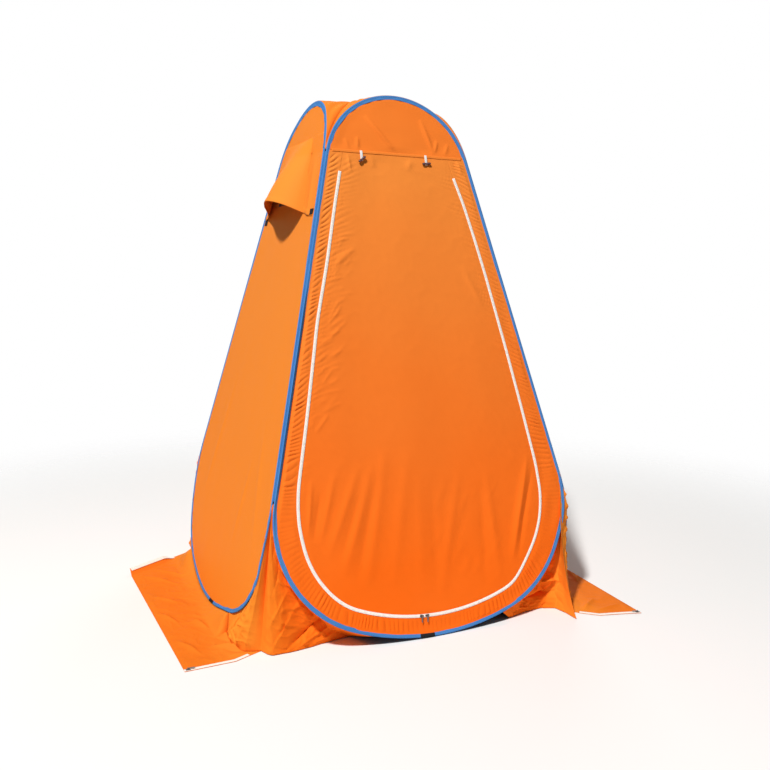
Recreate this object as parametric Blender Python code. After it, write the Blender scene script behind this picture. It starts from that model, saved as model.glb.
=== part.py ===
# Pop-up privacy tent: four sprung wire hoops with cloth walls, sewn side to side into a leaning
# square column with an open bottom, a U-zipped door, a hooded window and two ground flaps.
# Metres, +Z up. The front wall faces -Y. The origin is on the ground, at the middle of the plan box.

import math

import bmesh
import bpy
from mathutils import Matrix, Vector

# Driving dimensions of the four hoops, seen in the plane of a wall
HOOP_LENGTH = 1.953            # from the hoop's lowest to its highest point, along the wall
HOOP_SPACING = 1.376           # between opposite walls, at their lowest points
WALL_LEAN = math.radians(13.4)
BOTTOM_RADIUS = 0.889          # the flat curve that stands on the ground
BOTTOM_HALF_ANGLE = math.radians(21.4)
HOOP_TO_CORNER = 0.0072        # from a hoop's straight side to the corner line, in the wall
HOOP_LIFT = 0.0054             # height of the wire's centre at the hoop's lowest point

# Wire, ferrule and the cloth folded round them
WIRE_RADIUS = 0.0020
WIRE_END_GAP = 0.0010
FERRULE_LENGTH = 0.040
FERRULE_WALL = 0.0006
FERRULE_FIT = 0.00035
BINDING_WIDTH = 0.0150         # from the wire's centre to the lip
BINDING_CLOTH = 0.0008
BINDING_FIT = 0.00045
BINDING_NECK = 1.4             # where the lips close, in inner radii from the wire's centre
WRAP_LENGTH = 0.055
WRAP_CLOTH = 0.0007
WRAP_CENTRES = {"front": -0.052, "left": 0.120, "right": -0.060, "back": 0.050}

# Cloth
CLOTH = 0.0010
SEW_GAP = 0.0003               # between two pieces that are sewn or laid together
PANEL_EDGE_INSET = 0.0036      # the cloth's edge inside the binding, from the wire's centre
TRIM_MARGIN = 0.0020           # from the end of a tape to the binding or fold beside it

# Door in the front wall
SEAM_BELOW_TOP = 0.221         # from the hoop's highest point, down the wall
SEAM_TAPE_WIDTH = 0.014
SEAM_TAPE_THICK = 0.0008
SEAM_CLEAR = 0.0050            # a top-arc corner nearer than this to the seam is left out
DOOR_INSET = 0.070
DOOR_BELOW_SEAM = 0.064
ZIP_HALF_WIDTH = 0.0080
ZIP_THICK = 0.0009
ZIP_BELOW_DOOR_TOP = 0.013
SLIDER_LEFT_AT = -0.0690       # along the wall, as seen from outside
SLIDER_RIGHT_AT = -0.0480
SLIDER_WIDTH = 0.0100
SLIDER_LENGTH = 0.0140
SLIDER_THICK = 0.0022
SLIDER_OUTLINE = (             # half of the shield, in half widths and half lengths
    (0.55, -1.0), (0.8, -0.2), (1.0, 0.5), (0.8, 1.0),
)
PULL_LENGTH = 0.0220
PULL_WIDTH = 0.0046
PULL_THICK = 0.0014
PULL_TAPER_AT = 0.86           # shares of the pull's length and half width
PULL_TIP_WIDTH = 0.55
PULL_HOLE_AT = 0.78
PULL_HOLE_RADIUS = 0.0010
PIN_RADIUS = 0.0008
EYE_WALL = 0.0010
EYE_FIT = 0.00035
LUG_THICK = 0.0012
LUG_WALL = 0.0010
LUG_BITE = 0.0004              # how far a lug is sunk in the slider's plate

# Door ties
TIE_PLACES = {"left": -0.150, "right": 0.109}
TIE_LENGTH = 0.038
TIE_WIDTH = 0.0095
TIE_THICK = 0.0010
TOGGLE_LENGTH = 0.035
TOGGLE_RADIUS = 0.0042
TOGGLE_PROFILE = (             # half of the toggle, in half lengths and radii from its end
    (1.0, 0.55), (0.86, 0.95), (0.22, 1.0), (0.12, 0.72),
)
TOGGLE_TURN = {"left": math.radians(38.0), "right": math.radians(6.0)}

# Window and hood in the left wall; "across" runs along the wall, to the right as seen from outside
WINDOW_WIDTH = 0.300
WINDOW_BELOW_TOP = 0.218
WINDOW_HEIGHT = 0.165
NET_COLUMNS = 10
NET_ROWS = 6
NET_STRAND = 0.0022
NET_THICK = 0.0008
NET_BORDER = 0.012
HOOD_BELOW_TOP = 0.148
HOOD_HEIGHT = 0.293
HOOD_BULGE = 0.115             # how far the hem stands off the wall
HOOD_CREASE_TOP = 0.100        # forward of its crease the hood lies flat on the wall
HOOD_CREASE_LOW = 0.190
HOOD_FORWARD = 2.6             # power that moves the bulge towards the crease
HOOD_SWELL = 0.60              # powers that round the hood across and down
HOOD_DROP = 0.80
HOOD_ARCH = 0.060              # share of its drop by which the hem rises where it stands off
HOOD_SIDE_INSET = 0.0170
HOOD_COLUMNS = 22
HOOD_ROWS = 6
TAB_WIDTH = 0.034
TAB_HEIGHT = 0.022
TAB_THICK = 0.0012
TAB_MARGIN = 0.0010

# Roof, and the gussets that close the corners below the hoops' straight sides
ROOF_RINGS = 5
ROOF_FLATNESS = 3.0
ROOF_RISE = 0.004
GUSSET_ACROSS = 5
GUSSET_FOLD = 0.011
GUSSET_FOLDS = 2.5
GUSSET_FULL_WIDTH = 0.26       # where the folds reach their full depth
GUSSET_KNEE = 0.18             # the ridge heads down the corner line to here, then to the foot
GUSSET_LOW_ANGLE = math.radians(17.0)
GUSSET_LANDED = 0.15           # the last row is on the ground from this share of its way on
FEET_OUT = {                   # how far each foot lies outside the corner of the hoops' square
    "front_left": (-0.088, -0.128),
    "front_right": (-0.153, 0.064),
    "back_right": (-0.078, -0.068),
    "back_left": (-0.036, -0.168),
}
SEAM_RADIUS = 0.00145
SEAM_END_GAP = 0.0070

# Ground cloth: the skirt is under the hoop, the flap lies beyond its fold line. Its points are
# given by how far they lie outside the front or the rear corner of the hoops' square
GROUND_CLOTH = 0.0010
FLAP_FOLD_FRONT_OUT = {"left": (0.018, -0.085), "right": (0.018, 0.102)}
FLAP_FOLD_REAR_OUT = {"left": (0.018, -0.213), "right": (0.018, -0.218)}
FLAP_OUTER_FRONT_OUT = {"left": (0.184, -0.078), "right": (0.097, 0.124)}
FLAP_OUTER_REAR_OUT = {"left": (0.237, -0.303), "right": (0.142, -0.308)}
SKIRT_REAR_OUT = {"left": (-0.048, -0.188), "right": (-0.088, -0.188)}
FLAP_ZIP_WIDTH = 0.014
FLAP_SLIDER_INSET = 0.012
FLAP_ZIP_MARGIN = 0.0010
FLAP_REAR_ZIP_START = 0.045    # from the fold line

# Facets
BOTTOM_STEPS = 3
FACET_MERGE = 0.02             # share of a bottom facet below which two corners become one
SHOULDER_STEPS = 7
TOP_STEPS = 12
WIRE_SIDES = 8
ROUND_SIDES = 12

# Derived shape of a hoop: a bottom arc, two shoulder arcs, two straight sides and a top arc
SIDE_TILT = math.atan(math.sin(WALL_LEAN))
SIDE_REACH = HOOP_SPACING / 2 * math.cos(SIDE_TILT) - HOOP_TO_CORNER
SHOULDER_SHARE = math.sin(BOTTOM_HALF_ANGLE - SIDE_TILT)
SHOULDER_RADIUS = (
    SIDE_REACH - BOTTOM_RADIUS * (SHOULDER_SHARE + math.sin(SIDE_TILT))
) / (1 - SHOULDER_SHARE)
TOP_RADIUS = (SIDE_REACH - HOOP_LENGTH * math.sin(SIDE_TILT)) / (1 - math.sin(SIDE_TILT))
SIDE_ANGLE = math.pi / 2 + SIDE_TILT
BOTTOM_CENTRE = (0.0, BOTTOM_RADIUS)
SHOULDER_CENTRE = (
    (BOTTOM_RADIUS - SHOULDER_RADIUS) * math.sin(BOTTOM_HALF_ANGLE),
    BOTTOM_RADIUS - (BOTTOM_RADIUS - SHOULDER_RADIUS) * math.cos(BOTTOM_HALF_ANGLE),
)
TOP_CENTRE = (0.0, HOOP_LENGTH - TOP_RADIUS)
SEAM_UP = HOOP_LENGTH - SEAM_BELOW_TOP
DOOR_TOP_UP = SEAM_UP - DOOR_BELOW_SEAM
ZIP_TOP_UP = DOOR_TOP_UP - ZIP_BELOW_DOOR_TOP
WINDOW_TOP_UP = HOOP_LENGTH - WINDOW_BELOW_TOP
WINDOW_LOW_UP = WINDOW_TOP_UP - WINDOW_HEIGHT
HOOD_TOP_UP = HOOP_LENGTH - HOOD_BELOW_TOP
HOOD_LOW_UP = HOOD_TOP_UP - HOOD_HEIGHT
BINDING_RADIUS = WIRE_RADIUS + BINDING_FIT + BINDING_CLOTH
HINGE_OFFSET = HOOP_TO_CORNER / 2
LIP_GAP = CLOTH / 2 + SEW_GAP
SLEEVE_EDGE = BINDING_RADIUS + CLOTH / 2 + SEW_GAP
ZIP_BASE = CLOTH / 2 + SEW_GAP
ZIP_TOP = ZIP_BASE + ZIP_THICK

for old in list(bpy.data.objects):
    bpy.data.objects.remove(old)


# Materials
def make_material(name, colour, roughness, metallic=0.0):
    material = bpy.data.materials.new(name)
    material.use_nodes = True
    shader = material.node_tree.nodes["Principled BSDF"]
    shader.inputs["Base Color"].default_value = (*colour, 1.0)
    shader.inputs["Roughness"].default_value = roughness
    shader.inputs["Metallic"].default_value = metallic
    material.diffuse_color = (*colour, 1.0)
    return material


ORANGE = make_material("orange_cloth", (0.87, 0.19, 0.02), 0.62)
GROUND = make_material("ground_cloth", (0.83, 0.16, 0.02), 0.66)
BLUE = make_material("blue_binding", (0.08, 0.26, 0.66), 0.70)
BLACK = make_material("black_wrap", (0.015, 0.015, 0.017), 0.60)
STEEL = make_material("spring_steel", (0.55, 0.56, 0.58), 0.30, 1.0)
ZIP_WHITE = make_material("zip_tape", (0.86, 0.83, 0.81), 0.75)
ZIP_METAL = make_material("zip_slider", (0.16, 0.15, 0.15), 0.38, 0.8)
TIE_WHITE = make_material("tie_strap", (0.85, 0.84, 0.82), 0.75)
TOGGLE = make_material("tie_toggle", (0.07, 0.015, 0.018), 0.45)
NET = make_material("window_net", (0.08, 0.08, 0.09), 0.80)


# Frames: an empty for the tent, one for each wall and one on each joint's axis
WORLD = {}


def make_empty(name, matrix, parent=None):
    empty = bpy.data.objects.new(name, None)
    bpy.context.collection.objects.link(empty)
    place(empty, matrix, parent)
    return empty


def place(item, matrix, parent):
    if parent is not None:
        item.parent = parent
        item.matrix_parent_inverse = WORLD[parent.name].inverted()
    item.matrix_basis = matrix
    WORLD[item.name] = matrix.copy()


def axis_matrix(point, axis):
    return Matrix.Translation(point) @ axis.to_track_quat("Z", "Y").to_matrix().to_4x4()


def wall_matrix(turn):
    lean = Matrix.Rotation(-WALL_LEAN, 4, "X")
    stand = Matrix.Translation((0.0, -HOOP_SPACING / 2, HOOP_LIFT))
    return Matrix.Rotation(turn, 4, "Z") @ stand @ lean


def corner_apex():
    """Where the four corner lines meet, above the tent."""
    return Vector((0.0, 0.0, HOOP_LIFT + HOOP_SPACING / 2 / math.tan(WALL_LEAN)))


def corner_axis(side_x, side_y):
    """The hinge of two walls: a point on its axis and the axis's direction, upwards."""
    half = HOOP_SPACING / 2
    up = Vector((-side_x * half, -side_y * half, corner_apex().z - HOOP_LIFT)).normalized()
    inward = HINGE_OFFSET / math.cos(WALL_LEAN)
    point = Vector((side_x * (half - inward), side_y * (half - inward), HOOP_LIFT))
    return point, up


def ground_point(corner, out):
    """A point on the ground, from how far it lies outside a corner of the hoops' square."""
    half = HOOP_SPACING / 2
    side_x = 1 if corner.endswith("right") else -1
    side_y = 1 if corner.startswith("back") else -1
    return Vector((side_x * (half + out[0]), side_y * (half + out[1])))


TENT = make_empty("tent", Matrix.Identity(4))
WALL_TURNS = {"front": 0.0, "left": -math.pi / 2, "right": math.pi / 2, "back": math.pi}
WALL = {name: wall_matrix(turn) for name, turn in WALL_TURNS.items()}

corner_point, corner_up = corner_axis(-1, -1)
LEFT_HINGE = make_empty("left_wall_fold", axis_matrix(corner_point, -corner_up), TENT)
corner_point, corner_up = corner_axis(1, -1)
RIGHT_HINGE = make_empty("right_wall_fold", axis_matrix(corner_point, -corner_up), TENT)
corner_point, corner_up = corner_axis(-1, 1)
BACK_HINGE = make_empty("back_wall_fold", axis_matrix(corner_point, corner_up), LEFT_HINGE)
WALL_PARENT = {"front": TENT, "left": LEFT_HINGE, "right": RIGHT_HINGE, "back": BACK_HINGE}


# Mesh helpers. In a wall's own frame X runs across, Z runs up the wall and -Y points out
def on_wall(across, up, out=0.0):
    return Vector((across, -out, up))


def finish(name, mesh, material, matrix, parent, smooth_angle=None):
    if isinstance(mesh, bmesh.types.BMesh):
        source = mesh
        bmesh.ops.recalc_face_normals(source, faces=source.faces)
        mesh = bpy.data.meshes.new(name)
        source.to_mesh(mesh)
        source.free()
    mesh.materials.clear()
    mesh.materials.append(material)
    if smooth_angle is not None:
        mesh.shade_smooth()
        mesh.set_sharp_from_angle(angle=math.radians(smooth_angle))
    item = bpy.data.objects.new(name, mesh)
    bpy.context.collection.objects.link(item)
    place(item, matrix, parent)
    return item


def loft(rings, closed=False):
    """Skin a row of rings that have equally many points, capping the ends of an open row."""
    mesh = bmesh.new()
    rows = [[mesh.verts.new(point) for point in ring] for ring in rings]
    count = len(rows[0])
    pairs = list(zip(rows, rows[1:]))
    if closed:
        pairs.append((rows[-1], rows[0]))
    for near, far in pairs:
        for i in range(count):
            j = (i + 1) % count
            mesh.faces.new((near[i], near[j], far[j], far[i]))
    if not closed:
        mesh.faces.new(rows[0])
        mesh.faces.new(rows[-1])
    return mesh


def extrude_outline(points, offset):
    """A flat plate: an outline pushed along an offset."""
    mesh = bmesh.new()
    face = mesh.faces.new([mesh.verts.new(point) for point in points])
    pushed = bmesh.ops.extrude_face_region(mesh, geom=[face])
    moved = [part for part in pushed["geom"] if isinstance(part, bmesh.types.BMVert)]
    bmesh.ops.translate(mesh, verts=moved, vec=offset)
    return mesh


def wall_plate(outline, low, high):
    points = [on_wall(across, up, low) for across, up in outline]
    return extrude_outline(points, Vector((0.0, low - high, 0.0)))


def round_rod(start, end, radius, sides=ROUND_SIDES):
    mesh = bmesh.new()
    run = Vector(end) - Vector(start)
    turn = run.to_track_quat("Z", "Y").to_matrix().to_4x4()
    centre = (Vector(start) + Vector(end)) / 2
    bmesh.ops.create_cone(
        mesh, cap_ends=True, segments=sides, radius1=radius, radius2=radius,
        depth=run.length, matrix=Matrix.Translation(centre) @ turn,
    )
    return mesh


def combine(base, others, operation):
    """Join or cut closed shapes with Booleans and give the mesh that is left."""
    def temporary(shape):
        bmesh.ops.recalc_face_normals(shape, faces=shape.faces)
        mesh = bpy.data.meshes.new("shape")
        shape.to_mesh(mesh)
        shape.free()
        item = bpy.data.objects.new("shape", mesh)
        bpy.context.collection.objects.link(item)
        return item
    target = temporary(base)
    tools = [temporary(shape) for shape in others]
    for tool in tools:
        step = target.modifiers.new("combine", "BOOLEAN")
        step.operation = operation
        step.solver = "EXACT"
        step.object = tool
    graph = bpy.context.evaluated_depsgraph_get()
    result = bpy.data.meshes.new_from_object(target.evaluated_get(graph))
    for item in [target, *tools]:
        bpy.data.objects.remove(item)
    return result


def spread(start, end, steps):
    return [start + (end - start) * i / steps for i in range(steps + 1)]


# The hoop's outline as stations: an arc's centre, radius and angle from the lowest point, and how
# far a facet lies inside the arc there, as a share of the radius
def arc_stations(centre, radius, start, end, steps):
    return [(centre, radius, angle, 1.0) for angle in spread(start, end, steps)]


def bottom_stations(start, end):
    """Stations on the bottom arc, which keeps the same facets wherever a piece starts or ends."""
    facet = BOTTOM_HALF_ANGLE / BOTTOM_STEPS
    corners = [facet * i for i in range(-BOTTOM_STEPS, BOTTOM_STEPS + 1)]
    low, high = min(start, end), max(start, end)
    near = facet * FACET_MERGE
    inner = [angle for angle in corners if low + near < angle < high - near]
    if end < start:
        inner.reverse()
    stations = []
    for angle in [start, *inner, end]:
        middle = (math.floor(angle / facet + 1e-6) + 0.5) * facet
        share = math.cos(facet / 2) / math.cos(angle - middle)
        stations.append((BOTTOM_CENTRE, BOTTOM_RADIUS, angle, share))
    return stations


def hoop_side(sign):
    """Stations of one shoulder, from the bottom arc up to the straight side."""
    centre = (sign * SHOULDER_CENTRE[0], SHOULDER_CENTRE[1])
    return arc_stations(
        centre, SHOULDER_RADIUS, sign * BOTTOM_HALF_ANGLE, sign * SIDE_ANGLE, SHOULDER_STEPS,
    )


def hoop_run(start=0.0, end=0.0):
    """Stations once round the hoop, from one angle on the bottom arc to another."""
    rise = bottom_stations(start, BOTTOM_HALF_ANGLE)
    top = arc_stations(TOP_CENTRE, TOP_RADIUS, SIDE_ANGLE, math.tau - SIDE_ANGLE, TOP_STEPS)
    fall = bottom_stations(-BOTTOM_HALF_ANGLE, end)
    return rise[:-1] + hoop_side(1) + top + hoop_side(-1)[::-1] + fall[1:]


def door_run():
    """Stations from the right straight side down round the bottom to the left one."""
    low = bottom_stations(BOTTOM_HALF_ANGLE, -BOTTOM_HALF_ANGLE)
    return hoop_side(1)[::-1] + low[1:-1] + hoop_side(-1)


def at_station(station, inset=0.0):
    centre, radius, angle, share = station
    reach = (radius - inset) * share
    return centre[0] + reach * math.sin(angle), centre[1] - reach * math.cos(angle)


def side_point(inset, height, sign=1):
    """The point of a straight side, or of the top arc above it, at a height up the wall."""
    rise = height - TOP_CENTRE[1]
    reach = TOP_RADIUS - inset
    if rise > reach * math.sin(SIDE_TILT):
        across = math.sqrt(max(0.0, reach ** 2 - rise ** 2))
    else:
        across = (SIDE_REACH - inset - height * math.sin(SIDE_TILT)) / math.cos(SIDE_TILT)
    return sign * across, height


def sweep(stations, section, closed=False):
    """Carry a section of (inset, out) points along the hoop."""
    rings = []
    for station in stations:
        ring = [on_wall(*at_station(station, inset), out) for inset, out in section]
        rings.append(ring)
    return loft(rings, closed)


def circle_section(radius, sides=WIRE_SIDES):
    turns = [math.tau * (i + 0.5) / sides for i in range(sides)]
    return [(radius * math.cos(turn), radius * math.sin(turn)) for turn in turns]


def folded_section(inner, cloth, width):
    """Cloth folded round the wire: a round back and two lips either side of the panel."""
    outer = inner + cloth
    backs = [math.pi * (0.5 + 0.25 * i) for i in range(5)]
    skin = [(outer * math.cos(turn), outer * math.sin(turn)) for turn in backs]
    lining = [(inner * math.cos(turn), inner * math.sin(turn)) for turn in backs[::-1]]
    neck = inner * BINDING_NECK
    return (
        [(width, LIP_GAP + cloth), (neck + cloth, LIP_GAP + cloth)] + skin
        + [(neck + cloth, -LIP_GAP - cloth), (width, -LIP_GAP - cloth)]
        + [(width, -LIP_GAP), (neck, -LIP_GAP)] + lining + [(neck, LIP_GAP), (width, LIP_GAP)]
    )


# Hoops: wire, ferrule, folded binding and the dark wrap over the joint
def bottom_angle(across):
    return math.asin(across / BOTTOM_RADIUS)


def build_hoop(wall):
    matrix = WALL[wall]
    parent = WALL_PARENT[wall]
    middle = WRAP_CENTRES[wall]
    half_gap = WIRE_END_GAP / 2
    run = hoop_run(bottom_angle(middle + half_gap), bottom_angle(middle - half_gap))
    wire = sweep(run, circle_section(WIRE_RADIUS))
    finish(wall + "_hoop_wire", wire, STEEL, matrix, parent, 40)

    half = FERRULE_LENGTH / 2
    short = bottom_stations(bottom_angle(middle - half), bottom_angle(middle + half))
    bore = WIRE_RADIUS + FERRULE_FIT
    rings = []
    for station in short:
        outer = circle_section(bore + FERRULE_WALL)
        inner = circle_section(bore)
        points = [on_wall(*at_station(station, inset), out) for inset, out in outer + inner]
        rings.append((points[:WIRE_SIDES], points[WIRE_SIDES:]))
    finish(wall + "_hoop_ferrule", tube_loft(rings), STEEL, matrix, parent, 40)

    half = WRAP_LENGTH / 2 + SEW_GAP
    run = hoop_run(bottom_angle(middle + half), bottom_angle(middle - half))
    binding = sweep(run, folded_section(WIRE_RADIUS + BINDING_FIT, BINDING_CLOTH, BINDING_WIDTH))
    finish(wall + "_hoop_binding", binding, BLUE, matrix, parent, 40)

    half = WRAP_LENGTH / 2
    short = bottom_stations(bottom_angle(middle - half), bottom_angle(middle + half))
    inner = bore + FERRULE_WALL + BINDING_FIT
    wrap = sweep(short, folded_section(inner, WRAP_CLOTH, BINDING_WIDTH))
    finish(wall + "_hoop_wrap", wrap, BLACK, matrix, parent, 40)


def tube_loft(rings):
    """A pipe: outer and inner rings along a run, joined by ring-shaped ends."""
    mesh = bmesh.new()
    outer = [[mesh.verts.new(point) for point in ring[0]] for ring in rings]
    inner = [[mesh.verts.new(point) for point in ring[1]] for ring in rings]
    count = len(outer[0])
    for rows in (outer, inner):
        for near, far in zip(rows, rows[1:]):
            for i in range(count):
                j = (i + 1) % count
                mesh.faces.new((near[i], near[j], far[j], far[i]))
    for k in (0, -1):
        for i in range(count):
            j = (i + 1) % count
            mesh.faces.new((outer[k][i], outer[k][j], inner[k][j], inner[k][i]))
    return mesh


# Wall panels
def full_outline():
    return [at_station(station, PANEL_EDGE_INSET) for station in hoop_run()[:-1]]


def build_plain_wall(wall):
    panel = wall_plate(full_outline(), -CLOTH / 2, CLOTH / 2)
    finish(wall + "_wall_panel", panel, ORANGE, WALL[wall], WALL_PARENT[wall])


def build_left_wall():
    panel = wall_plate(full_outline(), -CLOTH / 2, CLOTH / 2)
    half = WINDOW_WIDTH / 2
    low, high = WINDOW_LOW_UP, WINDOW_TOP_UP
    frame = [(-half, low), (half, low), (half, high), (-half, high)]
    cutter = wall_plate(frame, -CLOTH * 4, CLOTH * 4)
    mesh = combine(panel, [cutter], "DIFFERENCE")
    finish("left_wall_panel", mesh, ORANGE, WALL["left"], WALL_PARENT["left"])
    build_net()
    build_hood()


def build_net():
    """The insect net, sewn behind the window's edge."""
    half = WINDOW_WIDTH / 2 + NET_BORDER
    low = WINDOW_LOW_UP - NET_BORDER
    high = WINDOW_TOP_UP + NET_BORDER
    back = -CLOTH / 2 - SEW_GAP
    mesh = bmesh.new()
    grid = bmesh.ops.create_grid(
        mesh, x_segments=NET_COLUMNS, y_segments=NET_ROWS, size=0.5,
    )
    for vert in grid["verts"]:
        vert.co = on_wall(vert.co.x * 2 * half, (low + high) / 2 + vert.co.y * (high - low), back)
    mesh.normal_update()
    cells = list(mesh.faces)
    bmesh.ops.inset_individual(mesh, faces=cells, thickness=NET_STRAND / 2, use_even_offset=True)
    bmesh.ops.delete(mesh, geom=cells, context="FACES_ONLY")
    net = finish("window_net", mesh, NET, WALL["left"], WALL_PARENT["left"])
    thicken(net, NET_THICK, back_only=True)


def thicken(item, thickness, back_only=False):
    """Give an open sheet its thickness, about its middle or wholly on its inner side."""
    step = item.modifiers.new("thickness", "SOLIDIFY")
    step.thickness = thickness
    step.offset = 0.0
    if back_only:
        outward = item.data.polygons[0].normal.y < 0
        step.offset = -1.0 if outward else 1.0


def hood_swell(share):
    """The bulge at a share of the way from the hood's rear edge to its crease, up to 1."""
    return max(0.0, math.sin(math.pi * min(1.0, share) ** HOOD_FORWARD)) ** HOOD_SWELL


def hood_point(column, row):
    drop = row / HOOD_ROWS
    up = HOOD_TOP_UP - HOOD_HEIGHT * drop
    half = side_point(HOOD_SIDE_INSET, up)[0]
    across = -half + 2 * half * column / HOOD_COLUMNS
    crease = HOOD_CREASE_TOP + (HOOD_CREASE_LOW - HOOD_CREASE_TOP) * drop
    swell = hood_swell((across + half) / (crease + half))
    up += HOOD_HEIGHT * drop * HOOD_ARCH * swell
    return on_wall(across, up, CLOTH + SEW_GAP + HOOD_BULGE * swell * drop ** HOOD_DROP)


def sheet_grid(rows):
    """An open sheet through rows of points."""
    mesh = bmesh.new()
    lines = [[mesh.verts.new(point) for point in row] for row in rows]
    for near, far in zip(lines, lines[1:]):
        for i in range(len(near) - 1):
            mesh.faces.new((near[i], near[i + 1], far[i + 1], far[i]))
    return mesh


def build_hood():
    matrix = WALL["left"]
    hinge_out = CLOTH + SEW_GAP
    point = matrix @ on_wall(0.0, HOOD_TOP_UP, hinge_out)
    axis = matrix.to_3x3() @ Vector((-1.0, 0.0, 0.0))
    hinge = make_empty("hood_lift", axis_matrix(point, axis), LEFT_HINGE)
    columns = range(HOOD_COLUMNS + 1)
    rows = [[hood_point(i, j) for i in columns] for j in range(HOOD_ROWS + 1)]
    hood = finish("window_hood", sheet_grid(rows), ORANGE, matrix, hinge, 50)
    thicken(hood, CLOTH)
    edge = side_point(HOOD_SIDE_INSET, HOOD_LOW_UP)[0] - TAB_MARGIN
    low = HOOD_LOW_UP + TAB_MARGIN
    on_hood = CLOTH * 1.5 + 2 * SEW_GAP
    build_tab("hood_tab_front", edge - TAB_WIDTH, low, on_hood, hinge)
    low = HOOD_LOW_UP - TAB_HEIGHT - TRIM_MARGIN
    build_tab("hood_tab_rear", -edge, low, CLOTH / 2 + SEW_GAP, LEFT_HINGE)


def build_tab(name, across, low, out, parent):
    """A square of grip tape, from its lower left corner."""
    far = across + TAB_WIDTH
    high = low + TAB_HEIGHT
    outline = [(across, low), (far, low), (far, high), (across, high)]
    tab = wall_plate(outline, out, out + TAB_THICK)
    finish(name, tab, BLACK, WALL["left"], parent)


# Front wall: top panel, seam tape, frame panel, door panel and the two halves of the zip
def build_front_wall():
    matrix = WALL["front"]
    half = SEW_GAP / 2
    top = arc_stations(TOP_CENTRE, TOP_RADIUS, SIDE_ANGLE, math.tau - SIDE_ANGLE, TOP_STEPS)
    arc = [at_station(station, PANEL_EDGE_INSET) for station in top]
    outline = [side_point(PANEL_EDGE_INSET, SEAM_UP + half)]
    outline += [point for point in arc if point[1] > SEAM_UP + SEAM_CLEAR]
    outline.append(side_point(PANEL_EDGE_INSET, SEAM_UP + half, -1))
    panel = wall_plate(outline, -CLOTH / 2, CLOTH / 2)
    finish("front_top_panel", panel, ORANGE, matrix, TENT)

    reach = side_point(BINDING_WIDTH + TRIM_MARGIN, SEAM_UP + SEAM_TAPE_WIDTH)[0]
    low = SEAM_UP - SEAM_TAPE_WIDTH / 2
    high = SEAM_UP + SEAM_TAPE_WIDTH / 2
    base = CLOTH / 2 + SEW_GAP
    outline = [(-reach, low), (reach, low), (reach, high), (-reach, high)]
    tape = wall_plate(outline, base, base + SEAM_TAPE_THICK)
    finish("front_seam_tape", tape, ORANGE, matrix, TENT)

    run = door_run()
    outer = [side_point(PANEL_EDGE_INSET, SEAM_UP - half)]
    outer += [at_station(station, PANEL_EDGE_INSET) for station in run]
    outer.append(side_point(PANEL_EDGE_INSET, SEAM_UP - half, -1))
    inset = DOOR_INSET - half
    top_height = DOOR_TOP_UP + half
    inner = [side_point(inset, top_height)]
    inner += [at_station(station, inset) for station in run]
    inner.append(side_point(inset, top_height, -1))
    rings = []
    for wide, tight in zip(outer, inner):
        rings.append([
            on_wall(*wide, CLOTH / 2), on_wall(*tight, CLOTH / 2),
            on_wall(*tight, -CLOTH / 2), on_wall(*wide, -CLOTH / 2),
        ])
    finish("front_frame_panel", loft(rings, closed=True), ORANGE, matrix, TENT)

    point = matrix @ on_wall(0.0, DOOR_TOP_UP, CLOTH / 2)
    axis = matrix.to_3x3() @ Vector((-1.0, 0.0, 0.0))
    hinge = make_empty("door_open", axis_matrix(point, axis), TENT)
    inset = DOOR_INSET + half
    top_height = DOOR_TOP_UP - half
    outline = [side_point(inset, top_height)]
    outline += [at_station(station, inset) for station in run]
    outline.append(side_point(inset, top_height, -1))
    finish("door_panel", wall_plate(outline, -CLOTH / 2, CLOTH / 2), ORANGE, matrix, hinge)

    build_zip_half("frame_zip_tape", DOOR_INSET - ZIP_HALF_WIDTH, DOOR_INSET - half, TENT)
    build_zip_half("door_zip_tape", DOOR_INSET + half, DOOR_INSET + ZIP_HALF_WIDTH, hinge)
    build_door_slider("left", SLIDER_LEFT_AT, -1, hinge)
    build_door_slider("right", SLIDER_RIGHT_AT, 1, hinge)
    for side in TIE_PLACES:
        build_tie(side)


def build_zip_half(name, near, far, parent):
    rings = []
    ends = [(1, None)] + [(0, station) for station in door_run()] + [(-1, None)]
    for sign, station in ends:
        pair = []
        for inset in (near, far):
            if station is None:
                pair.append(side_point(inset, ZIP_TOP_UP, sign))
            else:
                pair.append(at_station(station, inset))
        rings.append([
            on_wall(*pair[0], ZIP_TOP), on_wall(*pair[1], ZIP_TOP),
            on_wall(*pair[1], ZIP_BASE), on_wall(*pair[0], ZIP_BASE),
        ])
    finish(name, loft(rings), ZIP_WHITE, WALL["front"], parent)


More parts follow.
